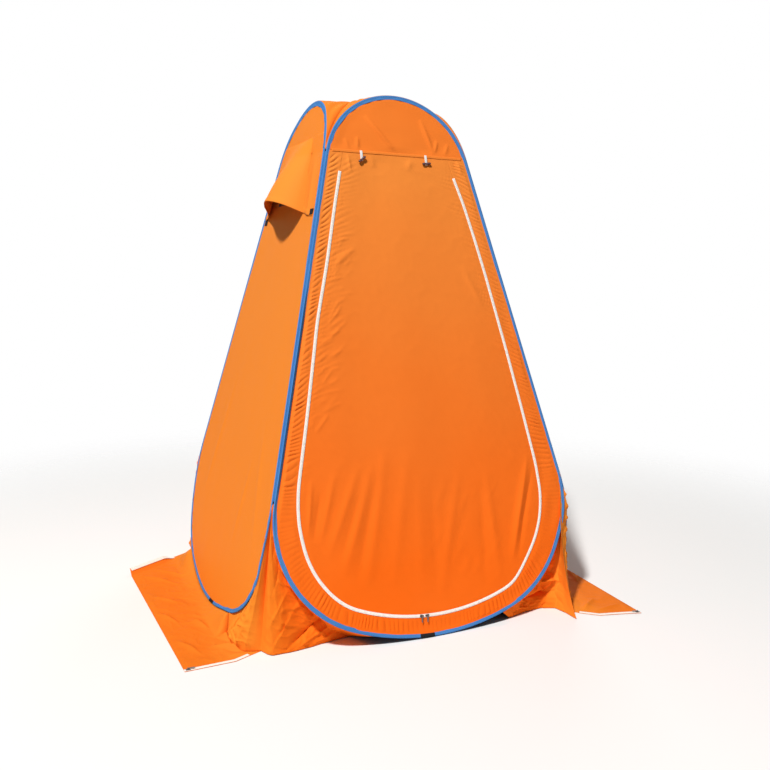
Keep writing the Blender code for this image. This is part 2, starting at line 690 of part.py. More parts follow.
# Zip sliders and pulls, made flat: X across the zip, Y along it, Z away from the cloth
def slider_mesh(pin_turn):
    """A shield-shaped plate with two lugs and the pin that the pull hangs from."""
    half = SLIDER_WIDTH / 2
    nose = SLIDER_LENGTH / 2
    right = [Vector((half * x, nose * y, 0.0)) for x, y in SLIDER_OUTLINE]
    left = [Vector((-point.x, point.y, 0.0)) for point in reversed(right)]
    plate = extrude_outline(right + left, Vector((0, 0, SLIDER_THICK)))
    pin_height = slider_pin_height()
    lug_in = PULL_WIDTH / 2 + EYE_FIT
    foot = PIN_RADIUS + LUG_WALL
    low = SLIDER_THICK - LUG_BITE
    high = pin_height + PIN_RADIUS + LUG_BITE
    lugs = []
    for sign in (-1, 1):
        shape = [(foot, low), (PIN_RADIUS, high), (-PIN_RADIUS, high), (-foot, low)]
        points = [Vector((sign * lug_in, y, z)) for y, z in shape]
        lugs.append(extrude_outline(points, Vector((sign * LUG_THICK, 0, 0))))
    reach = lug_in + LUG_THICK / 2
    pin = round_rod((-reach, 0, pin_height), (reach, 0, pin_height), PIN_RADIUS)
    for shape in [*lugs, pin]:
        turn = Matrix.Rotation(pin_turn, 3, "Z")
        bmesh.ops.rotate(shape, verts=shape.verts, cent=(0, 0, 0), matrix=turn)
    return combine(plate, [*lugs, pin], "UNION")


def slider_pin_height():
    return SLIDER_THICK + SEW_GAP + PIN_RADIUS + EYE_FIT + EYE_WALL


def pull_mesh():
    """The pull hangs along -Y from the pin, with its eye round it."""
    pin_height = slider_pin_height()
    outer = PIN_RADIUS + EYE_FIT + EYE_WALL
    half = PULL_WIDTH / 2
    eye = round_rod((-half, 0, pin_height), (half, 0, pin_height), outer)
    low = pin_height - PULL_THICK / 2
    tip = half * PULL_TIP_WIDTH
    root = -outer / 2
    waist = -PULL_LENGTH * PULL_TAPER_AT
    outline = [
        (-half, root), (-half, waist), (-tip, -PULL_LENGTH),
        (tip, -PULL_LENGTH), (half, waist), (half, root),
    ]
    bar = extrude_outline([Vector((x, y, low)) for x, y in outline], Vector((0, 0, PULL_THICK)))
    solid = combine(eye, [bar], "UNION")
    shape = bmesh.new()
    shape.from_mesh(solid)
    reach = PULL_WIDTH
    bore = PIN_RADIUS + EYE_FIT
    cut = round_rod((-reach, 0, pin_height), (reach, 0, pin_height), bore)
    hole_at = -PULL_LENGTH * PULL_HOLE_AT
    hole = round_rod((0, hole_at, 0), (0, hole_at, pin_height * 2), PULL_HOLE_RADIUS, WIRE_SIDES)
    return combine(shape, [cut, hole], "DIFFERENCE")


def build_door_slider(side, across, sign, door_hinge):
    """A slider runs round the bottom arc of the zip, about that arc's centre."""
    matrix = WALL["front"]
    angle = math.asin(across / (BOTTOM_RADIUS - DOOR_INSET))
    centre = matrix @ on_wall(*BOTTOM_CENTRE, 0.0)
    outward = matrix.to_3x3() @ Vector((0.0, -1.0, 0.0))
    axis = axis_matrix(centre, outward * sign)
    pivot = make_empty("door_slider_" + side + "_run", axis, door_hinge)
    station = (BOTTOM_CENTRE, BOTTOM_RADIUS, angle, 1.0)
    seat = on_wall(*at_station(station, DOOR_INSET), ZIP_TOP + SEW_GAP)
    flat = Matrix(((1, 0, 0, 0), (0, 0, -1, 0), (0, 1, 0, 0), (0, 0, 0, 1)))
    along = Matrix.Rotation(-sign * math.pi / 2, 4, "Z")
    local = Matrix.Translation(seat) @ Matrix.Rotation(-angle, 4, "Y") @ flat
    slider = slider_mesh(math.pi / 2)
    finish("door_slider_" + side, slider, ZIP_METAL, matrix @ local @ along, pivot, 40)
    build_pull("door_pull_" + side, matrix @ local, pivot)


def build_pull(name, seat_matrix, parent):
    pin = seat_matrix @ Vector((0.0, 0.0, slider_pin_height()))
    axis = seat_matrix.to_3x3() @ Vector((1.0, 0.0, 0.0))
    hinge = make_empty(name + "_swing", axis_matrix(pin, -axis), parent)
    finish(name, pull_mesh(), ZIP_METAL, seat_matrix, hinge, 40)


# Door ties: a strap that swings from the seam and a toggle that turns on its end
def build_tie(side):
    matrix = WALL["front"]
    across = TIE_PLACES[side]
    base = CLOTH / 2 + 2 * SEW_GAP + SEAM_TAPE_THICK
    top = SEAM_UP + SEAM_TAPE_WIDTH / 2 - TIE_THICK
    low = top - TIE_LENGTH
    point = matrix @ on_wall(across, top, base + TIE_THICK / 2)
    axis = matrix.to_3x3() @ Vector((-1.0, 0.0, 0.0))
    hinge = make_empty("tie_" + side + "_swing", axis_matrix(point, axis), TENT)
    half = TIE_WIDTH / 2
    chamfer = half / 2
    outline = [
        (across - half, top), (across - half, low + chamfer), (across - half + chamfer, low),
        (across + half - chamfer, low), (across + half, low + chamfer), (across + half, top),
    ]
    strap = wall_plate(outline, base, base + TIE_THICK)
    finish("tie_strap_" + side, strap, TIE_WHITE, matrix, hinge)

    turn_at = low + half
    out = base + TIE_THICK + SEW_GAP + TOGGLE_RADIUS
    point = matrix @ on_wall(across, turn_at, out)
    axis = matrix.to_3x3() @ Vector((0.0, -1.0, 0.0))
    turn = make_empty("toggle_" + side + "_turn", axis_matrix(point, axis), hinge)
    reach = TOGGLE_LENGTH / 2
    profile = [(-reach * along, TOGGLE_RADIUS * wide) for along, wide in TOGGLE_PROFILE]
    profile += [(-run, radius) for run, radius in reversed(profile)]
    slope = TOGGLE_TURN[side]
    along = Vector((math.cos(slope), 0.0, math.sin(slope)))
    beside = Vector((-math.sin(slope), 0.0, math.cos(slope)))
    centre = on_wall(across, turn_at, out)
    rings = []
    for run, radius in profile:
        ring = []
        for i in range(WIRE_SIDES):
            angle = math.tau * i / WIRE_SIDES
            offset = beside * (radius * math.sin(angle)) + Vector((0.0, radius * math.cos(angle), 0.0))
            ring.append(centre + along * run + offset)
        rings.append(ring)
    finish("tie_toggle_" + side, loft(rings), TOGGLE, matrix, turn, 50)


# Roof: one cloth from hoop top to hoop top, dipping to the four corners
def roof_edge():
    points = []
    for wall in ("front", "right", "back", "left"):
        top = arc_stations(TOP_CENTRE, TOP_RADIUS, math.tau - SIDE_ANGLE, SIDE_ANGLE, TOP_STEPS)
        matrix = WALL[wall]
        points += [matrix @ on_wall(*at_station(station), -SLEEVE_EDGE) for station in top]
    return points


def build_roof():
    edge = roof_edge()
    top = max(point.z for point in edge) + ROOF_RISE
    mesh = bmesh.new()
    rows = []
    for ring in range(ROOF_RINGS):
        share = 1.0 - ring / ROOF_RINGS
        row = []
        for point in edge:
            drop = (top - point.z) * share ** ROOF_FLATNESS
            row.append(mesh.verts.new((point.x * share, point.y * share, top - drop)))
        rows.append(row)
    count = len(edge)
    for near, far in zip(rows, rows[1:]):
        for i in range(count):
            j = (i + 1) % count
            mesh.faces.new((near[i], near[j], far[j], far[i]))
    hub = mesh.verts.new((0.0, 0.0, top))
    for i in range(count):
        mesh.faces.new((rows[-1][i], rows[-1][(i + 1) % count], hub))
    roof = finish("roof_panel", mesh, ORANGE, Matrix.Identity(4), TENT, 50)
    thicken(roof, CLOTH)


# Gussets: folded cloth from the two hoops beside a corner down to its foot
def gusset_side(wall, sign):
    """Points down the hoop's lower quarter, just outside its binding."""
    stations = hoop_side(sign)[::-1]
    stations += bottom_stations(sign * BOTTOM_HALF_ANGLE, sign * GUSSET_LOW_ANGLE)[1:]
    return [WALL[wall] @ on_wall(*at_station(station, -SLEEVE_EDGE), 0.0) for station in stations]


def gusset_row(edge, ridge, outward):
    """Folded cloth from a hoop's edge to the ridge."""
    run = ridge - edge
    depth = GUSSET_FOLD * min(1.0, run.length / GUSSET_FULL_WIDTH)
    row = []
    for along in spread(0.0, 1.0, GUSSET_ACROSS):
        wave = math.sin(math.pi * along) * math.sin(math.pi * GUSSET_FOLDS * along)
        row.append(edge + run * along + outward * (depth * wave))
    return row


def build_gusset(corner, first, second, parent):
    """first and second are (wall, sign) pairs: the two hoops beside the corner."""
    one = gusset_side(*first)
    two = gusset_side(*second)
    foot = ground_point(corner, FEET_OUT[corner])
    floor = GROUND_CLOTH + SEW_GAP + CLOTH / 2
    bottom = Vector((foot.x, foot.y, floor))
    top = (one[0] + two[0]) / 2
    knee = top + (top - corner_apex()) * ((GUSSET_KNEE - top.z) / (top.z - corner_apex().z))
    outward = Vector((foot.x, foot.y, 0.0)).normalized()
    rows = []
    count = len(one)
    for k in range(count):
        share = 1.0 - max(0.0, (one[k].z - floor)) / (one[0].z - floor)
        if k == count - 1:
            share = 1.0
        ridge = top.lerp(knee, share).lerp(knee.lerp(bottom, share), share)
        first_half = gusset_row(one[k], ridge, outward)
        second_half = gusset_row(two[k], ridge, outward)
        row = first_half + second_half[-2::-1]
        for point in row:
            point.z = max(point.z, floor)
        if k == count - 1:
            landed = round(GUSSET_LANDED * GUSSET_ACROSS) + 1
            for point in row[landed:-landed]:
                point.z = floor
        rows.append(row)
    item = finish("gusset_" + corner, sheet_grid(rows), ORANGE, Matrix.Identity(4), parent, 50)
    thicken(item, CLOTH)


# Corner seams: a rolled seam on each hinge axis
def build_corner_seam(name, side_x, side_y, parent):
    point, up = corner_axis(side_x, side_y)
    low = SHOULDER_CENTRE[1] + SHOULDER_RADIUS * math.sin(SIDE_TILT) + SEAM_END_GAP
    high = SEAM_UP - SEAM_END_GAP
    stretch = 1 / math.cos(SIDE_TILT)
    seam = round_rod(point + up * low * stretch, point + up * high * stretch, SEAM_RADIUS, WIRE_SIDES)
    finish(name, seam, ORANGE, Matrix.Identity(4), parent, 40)


# Ground cloth
def ground_plate(outline, low, high):
    return extrude_outline([Vector((x, y, low)) for x, y in outline], Vector((0, 0, high - low)))


def build_ground(side, wall_hinge):
    sign = 1 if side == "right" else -1
    front = "front_" + side
    rear = "back_" + side
    fold_front = ground_point(front, FLAP_FOLD_FRONT_OUT[side])
    fold_rear = ground_point(rear, FLAP_FOLD_REAR_OUT[side])
    foot = ground_point(front, FEET_OUT[front])
    rear_foot = ground_point(rear, SKIRT_REAR_OUT[side])
    skirt = ground_plate([foot, fold_front, fold_rear, rear_foot], 0.0, GROUND_CLOTH)
    finish(side + "_skirt", skirt, GROUND, Matrix.Identity(4), wall_hinge)

    gap = Vector((sign * SEW_GAP, 0.0))
    start_front = fold_front + gap
    start_rear = fold_rear + gap
    outer_front = ground_point(front, FLAP_OUTER_FRONT_OUT[side])
    outer_rear = ground_point(rear, FLAP_OUTER_REAR_OUT[side])
    outline = [start_front, outer_front, outer_rear, start_rear]
    flap = ground_plate(outline, 0.0, GROUND_CLOTH)
    middle = (start_front + start_rear) / 2
    point = Vector((middle.x, middle.y, GROUND_CLOTH))
    axis = Vector((0, -sign, 0))
    hinge = make_empty(side + "_flap_turn", axis_matrix(point, axis), wall_hinge)
    finish(side + "_flap", flap, GROUND, Matrix.Identity(4), hinge)

    base = GROUND_CLOTH + SEW_GAP
    inner = start_front + Vector((sign * TRIM_MARGIN, 0.0))
    build_edge_zip(side + "_flap_zip_front", inner, outer_front, sign, base, hinge)
    if side == "left":
        inner = start_rear + Vector((sign * FLAP_REAR_ZIP_START, 0.0))
        build_edge_zip("left_flap_zip_rear", inner, outer_rear, -sign, base, hinge)
    run = (fold_front - outer_front).normalized()
    build_flap_slider(side, sign, outer_front, run, base + ZIP_THICK + SEW_GAP, hinge)


def build_edge_zip(name, inner, outer, sign, base, parent):
    run = outer - inner
    inward = Vector((-run.y, run.x)).normalized() * sign
    margin = inward * FLAP_ZIP_MARGIN
    wide = inward * FLAP_ZIP_WIDTH
    end = outer - run.normalized() * TRIM_MARGIN
    outline = [inner + margin, end + margin, end + wide, inner + wide]
    tape = ground_plate(outline, base, base + ZIP_THICK)
    finish(name, tape, ZIP_WHITE, Matrix.Identity(4), parent)


def build_flap_slider(side, sign, outer, run, base, flap_hinge):
    inward = Vector((-run.y, run.x)) * -sign
    seat = outer + run * FLAP_SLIDER_INSET + inward * FLAP_ZIP_WIDTH / 2
    axis = axis_matrix(seat.to_3d() + Vector((0, 0, base)), run.to_3d())
    track = make_empty(side + "_flap_slider_run", axis, flap_hinge)
    turn = Matrix.Rotation(math.atan2(run.y, run.x) - math.pi / 2, 4, "Z")
    matrix = Matrix.Translation((seat.x, seat.y, base)) @ turn
    finish(side + "_flap_slider", slider_mesh(0.0), ZIP_METAL, matrix, track, 40)
    build_pull(side + "_flap_pull", matrix @ Matrix.Rotation(math.pi, 4, "Z"), track)


def centre_on_footprint():
    """Move the tent so that the middle of its plan box is at the origin."""
    bpy.context.view_layer.update()
    graph = bpy.context.evaluated_depsgraph_get()
    corners = []
    for item in bpy.data.objects:
        if item.type == "MESH":
            shown = item.evaluated_get(graph)
            corners += [shown.matrix_world @ vert.co for vert in shown.data.vertices]
    x = (min(point.x for point in corners) + max(point.x for point in corners)) / 2
    y = (min(point.y for point in corners) + max(point.y for point in corners)) / 2
    TENT.location = (-x, -y, 0.0)
    bpy.context.view_layer.update()


for wall_name in WALL_TURNS:
    build_hoop(wall_name)
build_front_wall()
build_left_wall()
build_plain_wall("right")
build_plain_wall("back")
build_roof()
build_gusset("front_left", ("front", -1), ("left", 1), TENT)
build_gusset("front_right", ("right", -1), ("front", 1), TENT)
build_gusset("back_right", ("back", -1), ("right", 1), RIGHT_HINGE)
build_gusset("back_left", ("left", -1), ("back", 1), LEFT_HINGE)
build_corner_seam("corner_seam_front_left", -1, -1, TENT)
build_corner_seam("corner_seam_front_right", 1, -1, TENT)
build_corner_seam("corner_seam_back_left", -1, 1, LEFT_HINGE)
build_corner_seam("corner_seam_back_right", 1, 1, RIGHT_HINGE)
build_ground("left", LEFT_HINGE)
build_ground("right", RIGHT_HINGE)
centre_on_footprint()
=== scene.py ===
# %% [markdown]
# # A pop-up privacy tent
# This tent is four sprung wire hoops in the edges of four cloth walls. The CAD model gives every
# hoop, wall and joint its exact place, and this script dresses that frame: it replaces each plain
# cloth solid by cloth with its gathers, folds and creases, and gives the finishes. The packed
# model is loaded first, because every piece rides on one of its bodies.

import math
import random

import bmesh
import bpy
import numpy as np
from mathutils import Matrix, Vector, noise


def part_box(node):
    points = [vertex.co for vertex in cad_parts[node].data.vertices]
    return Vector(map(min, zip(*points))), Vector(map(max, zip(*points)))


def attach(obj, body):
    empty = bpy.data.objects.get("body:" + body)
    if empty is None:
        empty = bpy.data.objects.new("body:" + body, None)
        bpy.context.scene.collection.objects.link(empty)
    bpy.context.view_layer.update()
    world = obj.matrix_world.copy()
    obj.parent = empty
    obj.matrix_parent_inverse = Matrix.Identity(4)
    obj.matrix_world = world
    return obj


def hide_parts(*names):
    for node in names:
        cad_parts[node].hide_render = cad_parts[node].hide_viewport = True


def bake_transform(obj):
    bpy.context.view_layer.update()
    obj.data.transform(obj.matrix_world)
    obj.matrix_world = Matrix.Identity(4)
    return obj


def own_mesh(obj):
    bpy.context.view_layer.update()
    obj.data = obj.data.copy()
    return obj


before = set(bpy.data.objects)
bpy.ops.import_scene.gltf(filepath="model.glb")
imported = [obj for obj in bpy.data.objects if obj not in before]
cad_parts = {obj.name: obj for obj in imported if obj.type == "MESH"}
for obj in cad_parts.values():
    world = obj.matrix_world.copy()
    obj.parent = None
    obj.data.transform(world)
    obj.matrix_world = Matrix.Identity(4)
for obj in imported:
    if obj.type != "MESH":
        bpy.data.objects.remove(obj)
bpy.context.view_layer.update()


def centre_of(node):
    low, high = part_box(node)
    return (low + high) / 2


TENT_SHIFT = Vector((centre_of("front_hoop_wire").x, centre_of("left_hoop_wire").y, 0.0))
print("nodes", len(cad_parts), "tent centre", tuple(round(c, 4) for c in TENT_SHIFT))

# %% [markdown]
# The camera stands where the photograph was taken from. Its place and turn come from one fit of
# the four hoops to the picture, so every hoop falls on its own pixels. A camera looks along its
# own -Z axis, so its three axes are worked out from the yaw, pitch and roll and put in a matrix.

# %% Camera
EYE = Vector((-1.2659, -3.0460, 1.2445)) + TENT_SHIFT
YAW, PITCH, ROLL = 0.41622, -0.13416, 0.00934
LENS = 37.445

ahead = Vector((math.sin(YAW) * math.cos(PITCH), math.cos(YAW) * math.cos(PITCH), math.sin(PITCH)))
level = Vector((math.cos(YAW), -math.sin(YAW), 0.0))
above = level.cross(ahead)
camera_right = level * math.cos(ROLL) + above * math.sin(ROLL)
camera_up = above * math.cos(ROLL) - level * math.sin(ROLL)
camera = bpy.data.objects.new("camera", bpy.data.cameras.new("camera"))
bpy.context.scene.collection.objects.link(camera)
camera.data.lens = LENS
axes = Matrix((camera_right, camera_up, -ahead)).transposed().to_4x4()
camera.matrix_world = Matrix.Translation(EYE) @ axes
bpy.context.scene.camera = camera
bpy.context.scene.view_settings.view_transform = "Standard"
print("camera", tuple(round(c, 3) for c in camera.location))

# %% [markdown]
# The light is one soft lamp high on the left, as the sun stands in the picture, and a wide dim one
# from behind on the right that opens the shadows. A lamp of P watts at d metres lights a white
# surface that faces it to P / (pi d) squared. This is kept near 1, so that a colour renders about as
# it is written.

# %% Lamps
TARGET = Vector((0.0, 0.0, 0.9)) + TENT_SHIFT


def add_lamp(name, direction, distance, size, power, colour):
    lamp = bpy.data.objects.new(name, bpy.data.lights.new(name, "AREA"))
    bpy.context.scene.collection.objects.link(lamp)
    lamp.data.size = size
    lamp.data.energy = power
    lamp.data.color = colour
    away = Vector(direction).normalized()
    lamp.location = TARGET + away * distance
    lamp.rotation_mode = "QUATERNION"
    lamp.rotation_quaternion = away.to_track_quat("Z", "Y")


add_lamp("key", (-0.47, -0.40, 0.787), 12.0, 0.8, 1770.0, (1.0, 0.985, 0.96))
add_lamp("rear", (0.55, 0.80, 0.30), 6.0, 2.5, 110.0, (1.0, 1.0, 1.0))

# %% [markdown]
# A material is a net of nodes, and sums written as nodes are hard to read. Value wraps the output of
# a node, and its operators add Math nodes, so that a sum looks like a sum. Finish makes any other
# node from its type, its settings and what goes into its sockets, and feeds the Principled shader.

# %% Shader maths
class Value:
    """An output of a material's nodes, on which arithmetic adds Math nodes."""

    def __init__(self, finish, socket):
        self.finish = finish
        self.socket = socket

    def maths(self, operation, *values):
        return self.finish.node("ShaderNodeMath", {"operation": operation}, dict(enumerate(values)))

    def __add__(self, other):
        return self.maths("ADD", self, other)

    def __sub__(self, other):
        return self.maths("SUBTRACT", self, other)

    def __mul__(self, other):
        return self.maths("MULTIPLY", self, other)

    def __rsub__(self, other):
        return self.maths("SUBTRACT", other, self)

    __radd__ = __add__
    __rmul__ = __mul__


class Finish:
    """A material or world being made: node() adds one node and gives one of its outputs."""

    def __init__(self, holder):
        self.holder = holder
        holder.use_nodes = True
        self.tree = holder.node_tree

    def node(self, kind, settings=None, inputs=None, output=0):
        node = self.tree.nodes.new(kind)
        for name, setting in (settings or {}).items():
            setattr(node, name, setting)
        for name, value in (inputs or {}).items():
            self.feed(node.inputs[name], value)
        return Value(self, node.outputs[output])

    def feed(self, socket, value):
        if isinstance(value, Value):
            self.tree.links.new(value.socket, socket)
        else:
            socket.default_value = value

    def shade(self, **inputs):
        """Feed the Principled shader; an underscore in a name stands for a space."""
        shader = self.tree.nodes["Principled BSDF"]
        for name, value in inputs.items():
            self.feed(shader.inputs[name.replace("_", " ")], value)


print("shader helpers ready")

# %% [markdown]
# The world gives a faint even light. Its background is white for the rays that a camera, a gloss or
# a clear thing sends out, so the white behind the tent isn't made by more light on it.

# %% World
AMBIENT = 0.11
world = bpy.data.worlds.new("studio")
bpy.context.scene.world = world
sky = Finish(world)
rays = sky.tree.nodes.new("ShaderNodeLightPath").outputs
seen = Value(sky, rays["Is Camera Ray"]) + Value(sky, rays["Is Glossy Ray"])
seen = (seen + Value(sky, rays["Is Transmission Ray"])).maths("MINIMUM", seen, 1.0)
sky.feed(sky.tree.nodes["Background"].inputs["Color"], (1.0, 1.0, 1.0, 1.0))
sky.feed(sky.tree.nodes["Background"].inputs["Strength"], AMBIENT + seen * (1.0 - AMBIENT))
print("the world lights at", AMBIENT)

# %% [markdown]
# The floor is a pale disc that keeps the tent's shadow. It fades to nothing before its rim, so that
# no edge shows against the white. The fade reads Object coordinates, in metres from the middle.

# %% Floor
FLOOR_RADIUS = 6.0
floor_mesh = bmesh.new()
bmesh.ops.create_circle(floor_mesh, cap_ends=True, segments=96, radius=FLOOR_RADIUS)
bmesh.ops.translate(floor_mesh, verts=floor_mesh.verts, vec=(0.0, 0.0, -0.0006))
floor_data = bpy.data.meshes.new("floor")
floor_mesh.to_mesh(floor_data)
floor_mesh.free()
floor = bpy.data.objects.new("floor", floor_data)
bpy.context.scene.collection.objects.link(floor)
paving = Finish(bpy.data.materials.new("floor"))
paving.shade(Base_Color=(0.86, 0.86, 0.86, 1.0), Roughness=0.9, Specular_IOR_Level=0.0)
place = paving.node("ShaderNodeTexCoord", output=3)
out_from = paving.node("ShaderNodeVectorMath", {"operation": "LENGTH"}, {0: place}, output=1)
fade = paving.node("ShaderNodeMapRange", {"interpolation_type": "SMOOTHSTEP"}, {
    "Value": out_from, "From Min": 1.6, "From Max": 0.6 * FLOOR_RADIUS,
})
clear = paving.node("ShaderNodeBsdfTransparent")
pale = Value(paving, paving.tree.nodes["Principled BSDF"].outputs[0])
blend = paving.node("ShaderNodeMixShader", inputs={0: fade, 1: pale, 2: clear})
paving.feed(paving.tree.nodes["Material Output"].inputs["Surface"], blend)
floor_data.materials.append(paving.holder)
print("floor radius", FLOOR_RADIUS)

# %% [markdown]
# A hoop is one flat outline: a flat curve on the ground, two shoulders, two straight sides and a
# round top. All the cloth follows it, so its sizes are named here once, as the CAD source has
# them, and every panel, tape and zip is drawn at its own distance inside it.

# %% The hoop's outline
HOOP_LENGTH = 1.953
HOOP_SPACING = 1.376
WALL_LEAN = math.radians(13.4)
BOTTOM_RADIUS = 0.889
BOTTOM_HALF_ANGLE = math.radians(21.4)
HOOP_TO_CORNER = 0.0072
HOOP_LIFT = 0.0054

SIDE_TILT = math.atan(math.sin(WALL_LEAN))
SIDE_REACH = HOOP_SPACING / 2 * math.cos(SIDE_TILT) - HOOP_TO_CORNER
share_out = math.sin(BOTTOM_HALF_ANGLE - SIDE_TILT)
SHOULDER_RADIUS = (
    SIDE_REACH - BOTTOM_RADIUS * (share_out + math.sin(SIDE_TILT))
) / (1 - share_out)
TOP_RADIUS = (SIDE_REACH - HOOP_LENGTH * math.sin(SIDE_TILT)) / (1 - math.sin(SIDE_TILT))
SIDE_ANGLE = math.pi / 2 + SIDE_TILT
SHOULDER_CENTRE = (
    (BOTTOM_RADIUS - SHOULDER_RADIUS) * math.sin(BOTTOM_HALF_ANGLE),
    BOTTOM_RADIUS - (BOTTOM_RADIUS - SHOULDER_RADIUS) * math.cos(BOTTOM_HALF_ANGLE),
)
TOP_CENTRE_UP = HOOP_LENGTH - TOP_RADIUS
ARC_STEPS = 40
print("radii: bottom", BOTTOM_RADIUS, "shoulder", round(SHOULDER_RADIUS, 4), "top", round(TOP_RADIUS, 4))

# %% [markdown]
# Only the right half of the outline is worked out, arc by arc, and its mirror image gives the left
# half. A line at a distance inside the hoop keeps the arcs' centres and has smaller radii. along()
# finds the points at given shares of a line's length.

# %% Lines inside the hoop
def arc_points(centre, radius, start, end):
    turns = np.linspace(start, end, ARC_STEPS, endpoint=False)
    return np.column_stack((
        centre[0] + radius * np.sin(turns), centre[1] - radius * np.cos(turns),
    ))


def side_across(inset, height):
    return (SIDE_REACH - inset - height * math.sin(SIDE_TILT)) / math.cos(SIDE_TILT)


def half_line(inset):
    """Points at a distance inside the hoop, from its lowest point up the right side to the top."""
    bottom = arc_points((0.0, BOTTOM_RADIUS), BOTTOM_RADIUS - inset, 0.0, BOTTOM_HALF_ANGLE)
    shoulder = arc_points(SHOULDER_CENTRE, SHOULDER_RADIUS - inset, BOTTOM_HALF_ANGLE, SIDE_ANGLE)
    side_low = SHOULDER_CENTRE[1] - (SHOULDER_RADIUS - inset) * math.cos(SIDE_ANGLE)
    side_high = TOP_CENTRE_UP - (TOP_RADIUS - inset) * math.cos(SIDE_ANGLE)
    heights = np.linspace(side_low, side_high, 2 * ARC_STEPS, endpoint=False)
    side = np.column_stack((side_across(inset, heights), heights))
    top = arc_points((0.0, TOP_CENTRE_UP), TOP_RADIUS - inset, SIDE_ANGLE, math.pi)
    return np.vstack((bottom, shoulder, side, top, [[0.0, HOOP_LENGTH - inset]]))


def mirrored(line):
    return line * np.array((-1.0, 1.0))


def hoop_loop(inset):
    half = half_line(inset)
    return np.vstack((half, mirrored(half)[::-1][1:]))


def lengths(line):
    steps = np.linalg.norm(np.diff(line, axis=0), axis=1)
    return np.concatenate(([0.0], np.cumsum(steps)))


def along(line, share):
    """Points at shares of a line's length."""
    run = lengths(line)
    at = np.asarray(share) * run[-1]
    return np.column_stack([np.interp(at, run, line[:, k]) for k in range(line.shape[1])])


print("hoop is", round(lengths(hoop_loop(0.0))[-1], 3), "m round")

# %% [markdown]
# The four hoops stand on a square and lean together, so each wall is one matrix: it leans, stands
# on its side of the square and turns. A real hoop isn't even, because its cloth pulls it. BENDS
# gives the bends seen in the picture: the middle of each on the flat wall, how far the hoop moves
# there, and the size of the bend.

# %% The four walls
BENDS = {
    "front": [((0.5267, 0.2422), (-0.0100, 0.0026), 0.23)],
    "left": [
        ((0.5267, 0.2422), (0.029, -0.031), 0.23), ((-0.5267, 0.2422), (0.0076, 0.0), 0.23),
        ((0.0, 1.9), (0.025, -0.005), 0.25),
    ],
}


def wall_place(turn):
    stand = Matrix.Translation((0.0, -HOOP_SPACING / 2, HOOP_LIFT))
    lean = Matrix.Rotation(-WALL_LEAN, 4, "X")
    return Matrix.Translation(TENT_SHIFT) @ Matrix.Rotation(turn, 4, "Z") @ stand @ lean


WALLS = {
    "front": wall_place(0.0), "left": wall_place(-math.pi / 2),
    "right": wall_place(math.pi / 2), "back": wall_place(math.pi),
}
print("walls", sorted(WALLS), "with bends on", sorted(BENDS))

# %% [markdown]
# Cloth is made as a fine grid that a function puts in its place: create_grid gives points with u
# and v from 0 to 1, and each panel says where such a point lies. The grid keeps its flat place in
# a UV map in metres, so that the weave in the material follows the cloth and not the space.

# %% Grids of cloth
SAME_POINT = 0.00001


def cloth_grid(columns, rows, place, flat, loop=False):
    """place(u, v) gives points in the tent's space, flat(u, v) the same points on the cut cloth."""
    mesh = bmesh.new()
    bmesh.ops.create_grid(mesh, x_segments=columns, y_segments=rows, size=0.5)
    grid = np.array([vert.co[:2] for vert in mesh.verts]) + 0.5
    points = place(grid[:, 0], grid[:, 1])
    cut = flat(grid[:, 0], grid[:, 1])
    layer = mesh.loops.layers.uv.new("flat")
    mesh.verts.index_update()
    for face in mesh.faces:
        for loop_corner in face.loops:
            loop_corner[layer].uv = cut[loop_corner.vert.index]
    for vert, point in zip(mesh.verts, points):
        vert.co = point
    if loop:
        bmesh.ops.remove_doubles(mesh, verts=mesh.verts, dist=SAME_POINT)
    return mesh


def finish_piece(name, mesh, material, thickness=0.0, smooth=60.0):
    """Make the object, with smooth shading and the cloth's thickness."""
    data = bpy.data.meshes.new(name)
    mesh.to_mesh(data)
    mesh.free()
    data.materials.append(material)
    data.shade_smooth()
    data.set_sharp_from_angle(angle=math.radians(smooth))
    piece = bpy.data.objects.new(name, data)
    bpy.context.scene.collection.objects.link(piece)
    if thickness:
        step = piece.modifiers.new("thickness", "SOLIDIFY")
        step.thickness = thickness
        step.offset = 0.0
    return piece


def faced(mesh, outward):
    """Turn the faces of an open sheet so that they look along a direction."""
    mesh.normal_update()
    total = Vector((0.0, 0.0, 0.0))
    for face in mesh.faces:
        total += face.normal * face.calc_area()
    if total.dot(outward) < 0:
        bmesh.ops.reverse_faces(mesh, faces=mesh.faces)
    return mesh


print("points closer than", SAME_POINT, "m are one")

# %% [markdown]
# A point of a wall is (across, up, out): across to the right as seen from outside, up along the
# leaning wall, and out from it. First the bends move it across and up, with a weight that falls off
# like a bell around each bend's middle, and then the wall's matrix puts it in space.

# %% Points on a wall
def smooth_step(value, low, high):
    """0 below low, 1 above high, and a soft rise between."""
    share = np.clip((value - low) / (high - low), 0.0, 1.0)
    return share * share * (3.0 - 2.0 * share)


def bent(wall, flat):
    """Where a point of a wall's flat outline lies once its hoop is bent out of its even shape. A
    bend slides along the straight sides and never takes them off the tent's corners."""
    push = np.zeros_like(flat)
    from_side = side_across(0.0, flat[:, 1]) - np.abs(flat[:, 0])
    for middle, move, size in BENDS.get(wall, []):
        gap = (flat[:, 0] - middle[0]) ** 2 + (flat[:, 1] - middle[1]) ** 2
        share = np.exp(-gap / size ** 2)
        if middle[1] < 1.0:
            share = share * smooth_step(np.abs(flat[:, 0]), 0.22, 0.40)
        push[:, 0] += share * move[0] * smooth_step(from_side, 0.0, 0.08)
        push[:, 1] += share * move[1]
    slide = np.sign(flat[:, 0]) * math.tan(SIDE_TILT) * (1.0 - smooth_step(flat[:, 1], 1.66, 1.80))
    push[:, 0] -= push[:, 1] * slide
    return flat + push


